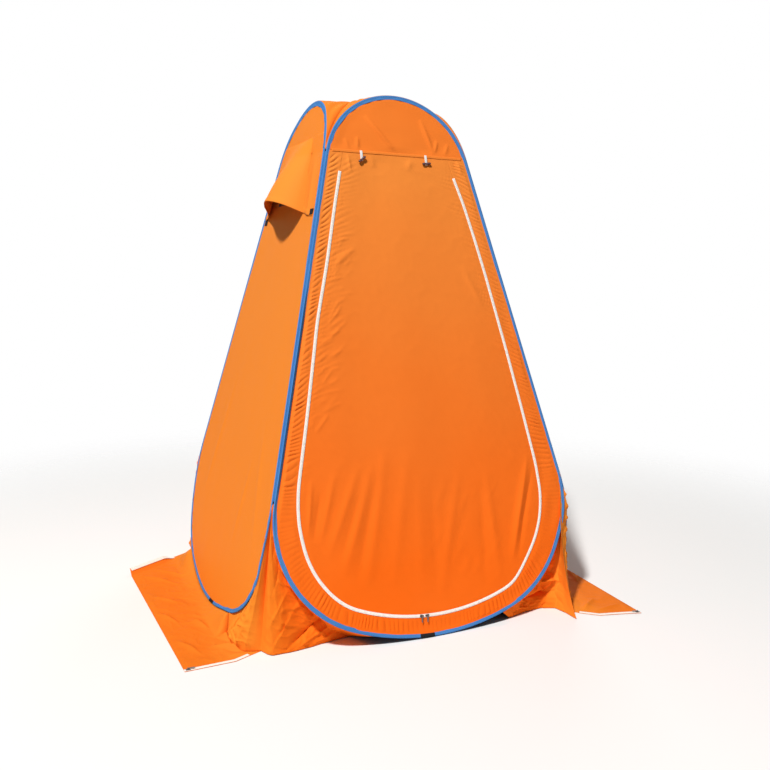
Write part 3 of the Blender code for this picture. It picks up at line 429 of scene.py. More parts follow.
def wall_points(wall, flat, out):
    """Points of a wall, moved off it along its outward side."""
    flat = bent(wall, flat)
    local = np.column_stack((flat[:, 0], -np.asarray(out), flat[:, 1]))
    turn = np.array(WALLS[wall].to_3x3())
    return local @ turn.T + np.array(WALLS[wall].translation)


def wall_outward(wall):
    return WALLS[wall].to_3x3() @ Vector((0.0, -1.0, 0.0))


def on_wall(wall, columns, rows, place, flat):
    """A grid of cloth for which place(u, v) gives flat points and how far out they stand."""
    mesh = cloth_grid(columns, rows, lambda u, v: wall_points(wall, *place(u, v)), flat)
    return faced(mesh, wall_outward(wall))


print("the front wall faces", tuple(round(c, 3) for c in wall_outward("front")))

# %% [markdown]
# A cut panel has four edges that are lines of points. The patch between them is blended from the
# two pairs of facing lines, less their corners. It follows all four lines exactly and is even
# between them, as a soap film is.

# %% Filling an outline
def patch(bottom, right, top, left, u, v):
    """A grid of points between four lines, as a soap film fills a frame."""
    low = along(bottom, u)
    high = along(top, u)
    near = along(left, v)
    far = along(right, v)
    u = u[:, None]
    v = v[:, None]
    corners = (
        (1 - u) * (1 - v) * bottom[0] + u * (1 - v) * bottom[-1]
        + (1 - u) * v * top[0] + u * v * top[-1]
    )
    return (1 - v) * low + v * high + (1 - u) * near + u * far - corners


LOW_CORNER = ARC_STEPS + ARC_STEPS // 2
TOP_CORNER = 4 * ARC_STEPS + ARC_STEPS // 2


def panel_patch(half, u, v):
    """Fill a wall's outline, whose right half is given. Its corners are points on the shoulders
    and on the top arc."""
    left = mirrored(half)
    bottom = np.vstack((left[:LOW_CORNER + 1][::-1], half[1:LOW_CORNER + 1]))
    top = np.vstack((left[TOP_CORNER:], half[TOP_CORNER:-1][::-1]))
    sides = slice(LOW_CORNER, TOP_CORNER + 1)
    return patch(bottom, half[sides], top, left[sides], u, v)


print("a wall's side has", TOP_CORNER - LOW_CORNER, "steps")

# %% [markdown]
# Thin coated cloth doesn't hang smoothly. Where it is sewn to a curved hoop or to a zip the
# stitching shortens it and it gathers in short puckers; where a corner pulls, long soft folds
# run from it. Both are written as heights over the flat cloth. Puckers come from the distance to a
# stitched line, and Perlin noise breaks up their regularity, the same way every time.

# %% Puckers
def ripple(x, y, seed):
    """Smooth noise from -1 to 1."""
    return np.array([noise.noise(Vector((a, b, seed))) for a, b in zip(*np.broadcast_arrays(x, y))])


def nearest(points, line):
    """The distance from each point to a line, and how far along the line that is."""
    run = lengths(line)
    fine = along(line, np.linspace(0.0, 1.0, 700))
    away = np.empty(len(points))
    place = np.empty(len(points))
    for start in range(0, len(points), 4000):
        some = points[start:start + 4000]
        gap = np.linalg.norm(some[:, None, :] - fine[None, :, :], axis=2)
        best = gap.argmin(axis=1)
        away[start:start + 4000] = gap[np.arange(len(some)), best]
        place[start:start + 4000] = best / 699.0 * run[-1]
    return away, place


def puckers(away, place, pitch, reach, height, slant, seed):
    """Gathers that start at a stitched line and die out away from it."""
    drift = ripple(place / (4.0 * pitch), 0.0, seed) * 1.3
    phase = (place + slant * away) / pitch + drift
    crest = 1.0 - np.abs(np.sin(math.pi * phase)) ** 0.8
    patchy = smooth_step(ripple(place / (7.0 * pitch), away / 0.3, seed + 5.0), -0.55, 0.35)
    length = reach * (0.7 + 0.5 * ripple(np.floor(phase) * 0.37, 0.0, seed + 9.0))
    return height * patchy * crest * np.exp(-(away / length) ** 2)


print("pucker helpers ready")

# %% [markdown]
# A fold is a soft ridge along a line on the flat cloth. It is highest in the middle of the line and
# falls off to both sides. Crumpled cloth is different: thin sharp creases between flat facets, which
# is what noise gives where it crosses zero.

# %% Folds and crumples
def fold(flat, start, end, width, height, power):
    """A ridge of cloth, or a valley if height is negative, that dies out at both ends."""
    start = np.array(start)
    run = np.array(end) - start
    size = np.linalg.norm(run)
    run = run / size
    rel = flat - start
    share = (rel @ run) / size
    side = rel @ np.array((-run[1], run[0]))
    taper = np.clip(1.0 - (2.0 * share - 1.0) ** 2, 0.0, 1.0)
    return height * taper * np.exp(-(np.abs(side) / width) ** power)


def raised(flat, folds, power=1.6):
    """The height of several folds together, each as (start, end, width, height)."""
    return sum(fold(flat, *one, power) for one in folds)


def crumple(flat, size, height, seed, lean, stretch):
    """Thin raised creases between flatter facets, drawn out along a lean from the vertical."""
    x = (flat[:, 0] * math.cos(lean) + flat[:, 1] * math.sin(lean)) / size
    y = (flat[:, 1] * math.cos(lean) - flat[:, 0] * math.sin(lean)) / (size * stretch)
    coarse = 1.0 - np.clip(np.abs(ripple(x, y, seed)) * 2.6, 0.0, 1.0)
    fine = 1.0 - np.clip(np.abs(ripple(x * 2.1, y * 2.1, seed + 3.0)) * 2.6, 0.0, 1.0)
    return height * (coarse ** 1.4 + 0.5 * fine ** 1.4 + 0.6 * ripple(x * 0.6, y * 0.6, seed + 7.0))


def scattered(seed, count, start_at, lean, size, width, height):
    """A seeded list of short folds: start_at(share, chance) gives the low end of each."""
    chance = random.Random(seed)
    folds = []
    for number in range(count):
        low = start_at((number + chance.random()) / count, chance.random())
        turn = lean + 0.90 * (chance.random() - 0.5)
        reach = size * (0.5 + chance.random())
        end = (low[0] + reach * math.cos(turn), low[1] + reach * math.sin(turn))
        folds.append((low, end, width * (0.7 + 0.6 * chance.random()), height * (0.5 + chance.random())))
    return folds


print("fold helpers ready")

# %% [markdown]
# Everything sewn to a hoop is placed by two numbers, how far along the hoop it is and how far in
# from it. This gives tapes, zips and puckers one common measure, in metres from the hoop's lowest
# point, positive up the right side and negative up the left.

# %% Places along a hoop
LOOP = hoop_loop(0.0)
LOOP_RUN = lengths(LOOP)
LOOP_LENGTH = LOOP_RUN[-1]
ahead_steps = np.roll(LOOP[:-1], -1, axis=0) - np.roll(LOOP[:-1], 1, axis=0)
ahead_steps /= np.linalg.norm(ahead_steps, axis=1)[:, None]
INWARD = np.column_stack((-ahead_steps[:, 1], ahead_steps[:, 0]))
INWARD = np.vstack((INWARD, INWARD[:1]))


def hoop_at(metres, inset):
    """Points at places along the hoop, each at its distance inside it."""
    at = np.asarray(metres) % LOOP_LENGTH
    base = np.column_stack([np.interp(at, LOOP_RUN, LOOP[:, k]) for k in (0, 1)])
    inward = np.column_stack([np.interp(at, LOOP_RUN, INWARD[:, k]) for k in (0, 1)])
    inward /= np.linalg.norm(inward, axis=1)[:, None]
    return base + np.broadcast_to(inset, len(base))[:, None] * inward


def metres_at(height, inset=0.0):
    """How far along the right side reaches a height, for a line at a distance inside the hoop."""
    metres = np.linspace(0.0, LOOP_LENGTH / 2, 2000)
    return float(np.interp(height, hoop_at(metres, inset)[:, 1], metres))


SHOULDER_TOP = metres_at(SHOULDER_CENTRE[1] - SHOULDER_RADIUS * math.cos(SIDE_ANGLE))
print("the side starts", round(SHOULDER_TOP, 3), "m along; half the hoop is", round(LOOP_LENGTH / 2, 3))

# %% [markdown]
# The cloth has a fine plain weave that only shows close by. The weave reads the flat UV map in
# metres, two sine waves crossed, and goes into a Bump node. A Noise Texture gives soft patches, and
# a Mix node lays one colour over another by such a share.

# %% Parts of a finish
SLOTS = {}


def colour(red, green, blue):
    return (red, green, blue, 1.0)


def make_finish(slot):
    finish = Finish(bpy.data.materials.new(slot))
    SLOTS[slot] = finish.holder
    return finish


def weave_height(finish, pitch):
    flat = finish.node("ShaderNodeUVMap", {"uv_map": "flat"})
    parts = finish.node("ShaderNodeSeparateXYZ", inputs={0: flat})
    across = Value(finish, parts.socket.node.outputs["X"]) * (math.tau / pitch)
    along_it = Value(finish, parts.socket.node.outputs["Y"]) * (math.tau / pitch)
    return across.maths("SINE", across) * along_it.maths("SINE", along_it)


def patches(finish, size):
    place = finish.node("ShaderNodeTexCoord", output=3)
    return finish.node(
        "ShaderNodeTexNoise", inputs={"Vector": place, "Scale": 1.0 / size, "Detail": 3.0},
    )


def bumped(finish, height, distance):
    return finish.node(
        "ShaderNodeBump", inputs={"Height": height, "Distance": distance, "Strength": 0.6},
    )


def mixed(finish, factor, first, second):
    mix = finish.tree.nodes.new("ShaderNodeMix")
    mix.data_type = "RGBA"
    finish.feed(mix.inputs[0], factor)
    finish.feed(mix.inputs[6], first)
    finish.feed(mix.inputs[7], second)
    return Value(finish, mix.outputs[2])


print("weave and patch helpers ready")

# %% [markdown]
# Part of the light is painted into the cloth's colour. Object coordinates tell where a point is, in
# metres from the middle of the ground, and a Map Range node makes a soft step of one of them. From
# such steps each cloth gets a share from 0 to 1 of its paler colour: higher up the walls as painted
# sheen, and on the side half of a corner as painted light. The ground cloths are paler beside the
# tent.

# %% Where the cloth is paler
def object_part(finish, axis):
    place = finish.node("ShaderNodeTexCoord", output=3)
    parts = finish.node("ShaderNodeSeparateXYZ", inputs={0: place})
    return Value(finish, parts.socket.node.outputs[axis])


def ramp(finish, value, low, high):
    return finish.node("ShaderNodeMapRange", inputs={"Value": value, "From Min": low, "From Max": high})


def painted_sheen_upwards(finish):
    """Painted sheen: 0 near the ground and 1 just below the seam; the top panel lies between the two."""
    up = object_part(finish, "Z")
    return ramp(finish, up, 0.25, 1.60) * 0.92 - ramp(finish, up, 1.68, 1.70) * 0.40 - 0.06


def painted_light_outwards(finish):
    """Painted light: 0 on the front half of a corner and 1 on its side half, which is lit more."""
    across = object_part(finish, "X")
    return ramp(finish, across.maths("ABSOLUTE", across), 0.50, 0.60) * 0.8


def paler_inwards(finish):
    """1 beside the tent and 0 out on the flaps."""
    across = object_part(finish, "X")
    return 0.9 - ramp(finish, across.maths("ABSOLUTE", across), 0.64, 0.74) * 0.8


print("fading helpers ready")

# %% [markdown]
# The cloth is thin coated polyester, a plain strong orange. Its walls, corners, roof and ground
# cloths each have their own pair of colours, which paint in how light falls on them: the side
# walls are lighter, as painted light, and the roof and ground darker, as painted shade against
# the strong light from above. The tapes and straps use the same weave, coarser and deeper.

# %% Cloth finishes
def cloth_finish(slot, main, pale, roughness, pitch=0.0009, depth=0.00006, paler=None):
    finish = make_finish(slot)
    share = patches(finish, 0.35)
    # On the walls and corners the paler share is painted sheen and painted light.
    if paler:
        share = share * 0.2 + paler(finish)
    base = mixed(finish, share, main, pale)
    normal = bumped(finish, weave_height(finish, pitch), depth)
    finish.shade(Base_Color=base, Roughness=roughness, Normal=normal, Specular_IOR_Level=0.01)


# The side walls' pair is lighter than the front's, painted light where the lamp falls more on them; the
# roof's and the ground's pairs are darker, painted shade against the strong light from above; the corner's
# paler colour is painted light on its side half.
ORANGE, PALE_ORANGE = colour(0.95, 0.148, 0.009), colour(0.90, 0.268, 0.045)
SIDE, PALE_SIDE = colour(0.86, 0.232, 0.021), colour(0.85, 0.256, 0.036)
CORNER, PALE_CORNER = colour(0.92, 0.165, 0.010), colour(0.88, 0.270, 0.028)
GROUND, PALE_GROUND = colour(0.75, 0.165, 0.013), colour(0.78, 0.225, 0.024)
cloth_finish("orange_cloth", ORANGE, PALE_ORANGE, 0.50, paler=painted_sheen_upwards)
cloth_finish("side_cloth", SIDE, PALE_SIDE, 0.50, paler=painted_sheen_upwards)
cloth_finish("corner_cloth", CORNER, PALE_CORNER, 0.50, paler=painted_light_outwards)
cloth_finish("roof_cloth", colour(0.76, 0.205, 0.022), colour(0.78, 0.225, 0.028), 0.50)
cloth_finish("ground_cloth", GROUND, PALE_GROUND, 0.55, paler=paler_inwards)
cloth_finish("blue_binding", colour(0.050, 0.195, 0.52), colour(0.09, 0.27, 0.61), 0.72, 0.0016, 0.0002)
cloth_finish("black_wrap", colour(0.014, 0.014, 0.016), colour(0.03, 0.03, 0.034), 0.62, 0.0016, 0.0002)
cloth_finish("zip_tape", colour(0.97, 0.92, 0.87), colour(0.92, 0.87, 0.82), 0.75, 0.0012, 0.0002)
cloth_finish("tie_strap", colour(0.92, 0.90, 0.88), colour(0.85, 0.83, 0.81), 0.75, 0.0012, 0.0002)
cloth_finish("window_net", colour(0.08, 0.08, 0.09), colour(0.10, 0.10, 0.11), 0.80)
print("cloth finishes", sorted(SLOTS))

# %% [markdown]
# Each piece rides on the body that carries it, or is handed to a function that fixes it in place,
# and takes the place of the CAD model's plain solids. The UV map holds the flat cut of a cloth
# piece in metres.

# %% Pieces on their bodies
CLOTH = 0.0010


def settle(piece, carrier, slot, *nodes):
    """Carry a piece on a body, or hand it to a function that fixes it in place."""
    if callable(carrier):
        carrier(piece)
    else:
        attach(piece, carrier)
    if nodes:
        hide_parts(*nodes)


def sew(name, mesh, finish, carrier, nodes, rests_on, slot="orange_cloth", thickness=CLOTH):
    piece = finish_piece(name, mesh, SLOTS[finish], thickness)
    settle(piece, carrier, slot, *nodes)
    return piece


print("cloth is", CLOTH, "m thick")

# %% [markdown]
# Each hoop is bound with blue tape folded over the wire. It is one continuous tape, so it is one
# sweep: a section with a round back and two lips, carried once round the hoop. The section is a
# list of points, each with its distance in from the wire and out from the wall.

# %% Section of the tape
WIRE_RADIUS = 0.0020
BINDING_FIT = 0.00045
BINDING_CLOTH = 0.0008
BINDING_WIDTH = 0.0140
LIP_GAP = 0.0008
BINDING_RADIUS = WIRE_RADIUS + BINDING_FIT + BINDING_CLOTH
SLEEVE_EDGE = BINDING_RADIUS + 0.0008


def folded_section(inner, cloth, width):
    """(inset, out) points round a folded tape, with rounded lip ends."""
    outer = inner + cloth
    neck = inner * 1.5
    backs = np.linspace(0.5 * math.pi, 1.5 * math.pi, 9)
    skin = [(outer * math.cos(turn), outer * math.sin(turn)) for turn in backs]
    lining = [(inner * math.cos(turn), inner * math.sin(turn)) for turn in backs[::-1]]
    high = LIP_GAP + cloth
    ridge = width - 0.0022
    upper = [(width, LIP_GAP + cloth * 0.6), (width - 0.0006, high), (ridge, high)]
    upper += [(neck + (ridge - neck) * share, high) for share in (0.66, 0.33)] + [(neck + cloth, high)]
    lower = [(inset, -out) for inset, out in reversed(upper)]
    close = [(width, -LIP_GAP), (neck, -LIP_GAP)] + lining + [(neck, LIP_GAP), (width, LIP_GAP)]
    return np.array(upper + skin + lower + close)


print("the section has", len(folded_section(WIRE_RADIUS, BINDING_CLOTH, BINDING_WIDTH)), "points")

# %% [markdown]
# The tape doesn't look equally wide all round, because on the sides it is rolled round the corner of
# the tent. Where the hoop is tightly curved the tape's inner edge is too long for its path and it
# waves a little. These helpers say how much, for places along the hoop.

# %% How the tape lies
def signed_metres(metres):
    """Places along a hoop as positive up the right side and negative up the left."""
    return (np.asarray(metres) + LOOP_LENGTH / 2) % LOOP_LENGTH - LOOP_LENGTH / 2


def lip_share(wall, metres):
    """How much of the tape shows: on the sides it is rolled round the corner of the tent."""
    signed = signed_metres(metres)
    at_corner = {"front": -1.0, "left": 1.0}.get(wall, 0.0) * signed
    up = np.abs(signed)
    on_top = smooth_step(up, 1.56, 1.75)
    on_side = smooth_step(up, 0.62, 0.88) * (1.0 - on_top)
    rolled = smooth_step(at_corner, 0.62, 0.88) * (1.0 - on_top)
    top_gain = 0.24 if wall == "left" else -0.14
    corner_gain = 0.20 if wall == "front" else -0.13
    low = smooth_step(up, 0.20, 0.34) * (1.0 - on_top)
    return 1.0 - 0.17 * low - 0.20 * on_side + corner_gain * rolled + top_gain * on_top


def roll_drop(wall, metres, inset):
    """How far the front hoop's tape and the strip's edge fall away from it on the left side."""
    if wall != "front":
        return np.zeros(len(metres))
    signed = signed_metres(metres)
    there = smooth_step(-signed, 0.72, 1.00) * (1.0 - smooth_step(-signed, 1.50, 1.66))
    return 0.0080 * there * smooth_step(inset, 0.0028, 0.0052)


def curvature_at(metres):
    """1 where the hoop is tightly curved and 0 on its straight sides."""
    at = np.asarray(metres) % LOOP_LENGTH
    at = np.minimum(at, LOOP_LENGTH - at)
    top = LOOP_LENGTH / 2 - TOP_RADIUS * (math.pi - SIDE_ANGLE)
    shoulder = smooth_step(at, 0.30, 0.36) * (1.0 - smooth_step(at, SHOULDER_TOP - 0.05, SHOULDER_TOP))
    return np.maximum(shoulder, smooth_step(at, top - 0.03, top + 0.08))


print("the lips show", [round(float(lip_share("front", m)), 2) for m in (0.0, 1.0, 2.5)], "of their width")

# %% [markdown]
# The tape is a grid too: its rows are the points of the section and its columns run along the
# hoop. The first and last rows are merged, and the two open ends are filled. A short black wrap
# covers the place where the ends of the wire meet.

# %% Tapes round the hoops
def tape_mesh(wall, section, start, end, columns, waves):
    """A folded tape along a hoop, from start to end in metres."""
    ring = np.vstack((section, section[:1]))
    round_run = lengths(ring)

    def place(u, v):
        metres = start + (end - start) * u
        index = np.round(v * (len(ring) - 1)).astype(int)
        inset = ring[index, 0].copy()
        out = ring[index, 1].copy()
        lip = smooth_step(inset, 0.004, BINDING_WIDTH)
        wobble = ripple(metres / 0.05, 0.0, 3.0 + waves)
        turning = curvature_at(metres)
        wave = np.sin(metres / 0.011 + 3.0 * ripple(metres / 0.09, 0.0, 8.0))
        inset = np.where(inset > 0.0, inset * lip_share(wall, metres), inset) + lip * 0.0009 * wobble
        out -= roll_drop(wall, metres, inset)
        out += lip * (0.0004 * wobble + 0.0009 * turning * wave - 0.0020 * (1.0 - turning))
        return wall_points(wall, hoop_at(metres, inset), out)

    def flat(u, v):
        index = np.round(v * (len(ring) - 1)).astype(int)
        return np.column_stack((start + (end - start) * u, round_run[index]))

    mesh = cloth_grid(columns, len(ring) - 1, place, flat, loop=True)
    return closed(mesh)


def closed(mesh):
    """Fill the open ends of a tube and turn its faces outwards."""
    edges = [edge for edge in mesh.edges if edge.is_boundary]
    bmesh.ops.holes_fill(mesh, edges=edges, sides=0)
    bmesh.ops.recalc_face_normals(mesh, faces=mesh.faces)
    return mesh


WRAP_CENTRES = {"front": -0.052, "left": 0.120, "right": -0.060, "back": 0.050}
WRAP_HALF = 0.0275
WRAP_FIT, WRAP_CLOTH, WRAP_GAP = 0.0014, 0.0007, 0.0003
TAPES = {
    "binding": ("blue_binding", BINDING_FIT, BINDING_CLOTH, 620),
    "wrap": ("black_wrap", WRAP_FIT, WRAP_CLOTH, 24),
}

for number, wall in enumerate(WALLS):
    middle = BOTTOM_RADIUS * math.asin(WRAP_CENTRES[wall] / BOTTOM_RADIUS)
    reach = WRAP_HALF + WRAP_GAP
    spans = {
        "binding": (middle + reach, middle - reach + LOOP_LENGTH),
        "wrap": (middle - WRAP_HALF, middle + WRAP_HALF),
    }
    for kind, (slot, fit, cloth, columns) in TAPES.items():
        section = folded_section(WIRE_RADIUS + fit, cloth, BINDING_WIDTH)
        mesh = tape_mesh(wall, section, *spans[kind], columns, number)
        piece = finish_piece(f"{wall}_{kind}", mesh, SLOTS[slot], smooth=50.0)
        settle(piece, wall + "_wall", slot, f"{wall}_hoop_{kind}")
print("bindings made for", sorted(WALLS))

# %% [markdown]
# Inside each binding runs the sprung wire. It is a round section carried round the hoop. The two
# hoops that have taken a bend get their own wire here, and the even ones keep the CAD model's.

# %% Wires of the bent hoops
steel = make_finish("spring_steel")
steel.shade(
    Base_Color=colour(0.55, 0.56, 0.58), Metallic=1.0,
    Roughness=patches(steel, 0.01) * 0.2 + 0.2,
)


def wire_mesh(wall):
    def place(u, v):
        inset = WIRE_RADIUS * np.cos(v * math.tau)
        return wall_points(wall, hoop_at(u * LOOP_LENGTH, inset), WIRE_RADIUS * np.sin(v * math.tau))

    def flat(u, v):
        return np.column_stack((u * LOOP_LENGTH, v * math.tau * WIRE_RADIUS))

    mesh = cloth_grid(520, 12, place, flat, loop=True)
    bmesh.ops.recalc_face_normals(mesh, faces=mesh.faces)
    return mesh


for wall in BENDS:
    wire = finish_piece(wall + "_wire", wire_mesh(wall), SLOTS["spring_steel"])
    settle(wire, wall + "_wall", "spring_steel", wall + "_hoop_wire")
print("wires made for", sorted(BENDS))

# %% [markdown]
# The plain walls are one cloth each, sewn into the binding all round. Seen in the picture the
# left wall is nearly smooth and taut, with a few faint folds. The back and right walls can't be
# seen and are made like it.

# %% Plain walls
PANEL_EDGE = 0.0036


def wall_relief(flat, seed, folds):
    """How far a taut wall stands off its plane."""
    inset, metres = nearest(flat, LOOP)
    height = 0.0045 * ripple(flat[:, 0] / 0.42, flat[:, 1] / 0.55, seed)
    height += 0.0012 * ripple(flat[:, 0] / 0.09, flat[:, 1] / 0.16, seed + 2.0)
    height += raised(flat, folds)
    height *= smooth_step(inset, 0.012, 0.12)
    gathers = puckers(inset, metres, 0.022, 0.040, 0.0016, 0.3, seed + 4.0)
    return height + gathers * smooth_step(inset, 0.014, 0.022)


def wall_cloth(wall, columns, rows, seed, folds, cut=None):
    """The cloth of a whole wall. cut(mesh) opens a window in it."""
    def flat(u, v):
        return panel_patch(half_line(PANEL_EDGE), u, v)

    def place(u, v):
        spots = flat(u, v)
        return spots, wall_relief(spots, seed, folds)

    mesh = on_wall(wall, columns, rows, place, flat)
    if cut:
        cut(mesh)
    nodes = [wall + "_wall_panel"]
    return sew(wall + "_cloth", mesh, "side_cloth", wall + "_wall", nodes, [wall + "_binding"])


WALL_FOLDS = {
    "right": [((0.30, 0.35), (0.10, 1.20), 0.030, 0.005), ((-0.25, 0.25), (-0.20, 0.95), 0.025, -0.004)],
    "back": [((-0.35, 0.30), (-0.05, 1.05), 0.030, 0.005), ((0.28, 0.30), (0.12, 1.30), 0.03, 0.004)],
}
for number, (wall, folds) in enumerate(WALL_FOLDS.items()):
    wall_cloth(wall, 96, 180, 20.0 + number * 7.0, folds)
print("plain walls", sorted(WALL_FOLDS))

# %% [markdown]
# The left wall has the window: an opening behind the hood, closed by an insect net. The cut is
# made in the grid itself: the faces inside the window are deleted, and the points left on the rim
# move onto the window's edges. That keeps the cloth one even grid.

# %% Left wall with its window
WINDOW_HALF = 0.150
WINDOW_HIGH = HOOP_LENGTH - 0.218
WINDOW_LOW = WINDOW_HIGH - 0.165


def cut_window(mesh):
    turn = WALLS["left"].inverted()
    inside = []
    for face in mesh.faces:
        spot = turn @ face.calc_center_median()
        if abs(spot.x) < WINDOW_HALF and WINDOW_LOW < spot.z < WINDOW_HIGH:
            inside.append(face)
    bmesh.ops.delete(mesh, geom=inside, context="FACES")
    for edge in mesh.edges:
        if edge.is_boundary:
            for vert in edge.verts:
                spot = turn @ vert.co
                if abs(spot.x) < WINDOW_HALF + 0.02 and WINDOW_LOW - 0.02 < spot.z < WINDOW_HIGH + 0.02:
                    snap_to_window(vert, spot)


def snap_to_window(vert, spot):
    gaps = (
        (abs(spot.x - WINDOW_HALF), "x", WINDOW_HALF), (abs(spot.x + WINDOW_HALF), "x", -WINDOW_HALF),
        (abs(spot.z - WINDOW_LOW), "z", WINDOW_LOW), (abs(spot.z - WINDOW_HIGH), "z", WINDOW_HIGH),
    )
    side = min(gaps)
    setattr(spot, side[1], side[2])
    vert.co = WALLS["left"] @ spot


LEFT_FOLDS = [
    ((-0.35, 0.3), (-0.22, 0.85), 0.018, 0.004), ((0.2, 0.25), (0.25, 0.6), 0.016, 0.004),
    ((0.45, 0.3), (0.3, 0.75), 0.018, 0.003),
]
left_cloth = wall_cloth("left", 128, 216, 41.0, LEFT_FOLDS, cut_window)
print("left wall", len(left_cloth.data.polygons), "faces")

# %% [markdown]
# The net is a grid of square cells. inset_individual draws a thin frame inside each cell, and the
# cells' middles are deleted, so that only the threads are left.

# %% Window net
NET_PITCH = 0.0040
NET_THREAD = 0.0009
NET_MARGIN = 0.012
net_width = 2 * (WINDOW_HALF + NET_MARGIN)
net_height = WINDOW_HIGH - WINDOW_LOW + 2 * NET_MARGIN
net = bmesh.new()
bmesh.ops.create_grid(
    net, x_segments=round(net_width / NET_PITCH), y_segments=round(net_height / NET_PITCH), size=0.5,
)
for vert in net.verts:
    spot = Vector((vert.co.x * net_width, 0.0011, (WINDOW_LOW + WINDOW_HIGH) / 2 + vert.co.y * net_height))
    vert.co = WALLS["left"] @ spot
net.normal_update()
cells = list(net.faces)
bmesh.ops.inset_individual(net, faces=cells, thickness=NET_THREAD / 2, use_even_offset=True)
bmesh.ops.delete(net, geom=cells, context="FACES_ONLY")
faced(net, wall_outward("left"))
window_net = finish_piece("window_mesh", net, SLOTS["window_net"], 0.0006)
settle(window_net, "left_wall", "window_net", "window_net")
print("net", len(window_net.data.polygons), "faces")

# %% [markdown]
# The front wall is three cloths: a top panel above a straight seam, a strip that follows the hoop,
# and the door inside the strip, with a zip between the two. The zip isn't sewn at one distance from
# the hoop. ZIP_INSETS gives that distance, seen in the picture, at places along the hoop, and three
# runs of a moving mean make it smooth.

# %% Front wall measures
SEAM_UP = HOOP_LENGTH - 0.221
DOOR_TOP_UP = SEAM_UP - 0.064
ZIP_TOP_UP = DOOR_TOP_UP - 0.013
DOOR_INSET = 0.070
ZIP_HALF = 0.0056
SEW_GAP = 0.0003
ZIP_INSETS = (
    (-2.20, 0.059), (-1.95, 0.057), (-1.73, 0.059), (-1.52, 0.0545), (-1.35, 0.061), (-1.18, 0.067),
    (-0.94, 0.072), (-0.86, 0.084), (-0.75, 0.091), (-0.65, 0.088), (-0.52, 0.081), (-0.42, 0.073),
    (-0.36, DOOR_INSET), (0.34, DOOR_INSET), (0.40, 0.082), (0.46, 0.0935), (0.53, 0.0997),
    (0.65, 0.102), (0.77, 0.102), (0.895, 0.096), (0.94, 0.088), (1.08, 0.082), (1.18, 0.077),
    (1.41, 0.0685), (1.70, 0.062), (1.84, 0.0627), (1.98, 0.066), (2.08, 0.0757), (2.20, 0.079),
)
ZIP_STEPS = np.linspace(-2.3, 2.3, 2301)
zip_steps_inset = np.interp(ZIP_STEPS, *np.array(ZIP_INSETS).T)
for _ in range(3):
    padded = np.pad(zip_steps_inset, 12, "edge")
    zip_steps_inset = np.convolve(padded, np.ones(25) / 25, "valid")


def zip_inset(metres):
    """How far in from the hoop the zip is sewn."""
    return np.interp(metres, ZIP_STEPS, zip_steps_inset)


def zip_line(metres, offset=0.0):
    return hoop_at(metres, zip_inset(metres) + offset)


def zip_end(height, side):
    """Where along the hoop the zip's line reaches a height, on the right (1) or the left (-1)."""
    metres = np.linspace(1.5, 2.3, 1600)
    return side * float(np.interp(height, zip_line(side * metres)[:, 1], metres))


top_metres = metres_at(SEAM_UP, PANEL_EDGE)
DOOR_ENDS = (zip_end(SEAM_UP - SEW_GAP / 2, -1), zip_end(SEAM_UP - SEW_GAP / 2, 1))
ZIP_ENDS = (zip_end(ZIP_TOP_UP, -1), zip_end(ZIP_TOP_UP, 1))
print("the strip runs", round(2 * top_metres, 3), "m, the zip", round(ZIP_ENDS[1] - ZIP_ENDS[0], 3), "m")

# %% [markdown]
# The zip has shortened the cloth that it is sewn to, so the strip is gathered into short cross
# puckers about 19 mm apart, hard along the sides and hardly at all round the shoulders, and they run
# on into the door beside its upper half. One wave along the hoop, with rounded crests and sharp
# valleys, serves the strip, the zip and the door, so that they rise and fall together.

# %% Gathers
GATHER_PITCH = 0.0185


def gather_strength(metres):
    """How strongly the strip is gathered, along the hoop: hardly at all round its shoulders."""
    side = np.where(metres < 0.0, 1.0, 0.8)
    up = np.abs(metres)
    upper = smooth_step(up, 0.84, 0.98) * side
    low = smooth_step(up, 0.04, 0.16) * (1.0 - smooth_step(up, 0.46, 0.60))
    uneven = 0.85 + 0.55 * ripple(metres / 0.12, 0.0, 61.0)
    return np.maximum(0.18, np.maximum(upper, 0.9 * low) * uneven)


def gather_wave(metres, inset):
    """Cross puckers, with rounded crests and sharp valleys."""
    slant = 0.15 + 0.70 * smooth_step(np.abs(metres), 0.85, 1.2)
    from_zip = inset - zip_inset(metres)
    drift = 1.8 * ripple(metres / 0.10, 0.0, 33.0) + 0.35 * ripple(metres / 0.05, from_zip / 0.08, 35.0)
    phase = (metres - np.sign(metres) * slant * from_zip) / GATHER_PITCH + drift
    size = 0.75 + 0.8 * ripple(np.floor(phase) * 0.71, from_zip / 0.06, 17.0)
    return np.clip(size, 0.1, 1.3) * (np.abs(np.sin(math.pi * phase)) ** 0.7 - 0.55)


def zip_lift(metres):
    """How far the zip itself rides up and down with the gathers."""
    return 0.0011 * gather_strength(metres) * gather_wave(metres, zip_inset(metres))


def strip_relief(metres, inset):
    free = smooth_step(inset, 0.0125, 0.024)
    to_zip = inset - zip_inset(metres)
    near_zip = smooth_step(to_zip, -0.026, -0.006)
    wave = gather_strength(metres) * gather_wave(metres, inset)
    belly = 0.0030 * ripple(metres / 0.13, inset / 0.05, 71.0)
    height = wave * (0.0058 * (1.0 - near_zip) + 0.0011 * near_zip)
    drop = roll_drop("front", metres, inset) * (1.0 - smooth_step(inset, 0.0130, 0.0230))
    return free * (height + belly * (1.0 - near_zip)) - drop


print("gathers every", GATHER_PITCH, "m")

# %% [markdown]
# The strip is a long narrow grid, 1500 columns along the hoop and 28 rows from the hoop in to the
# zip. A few small folds cross the ends of it, below the seam.

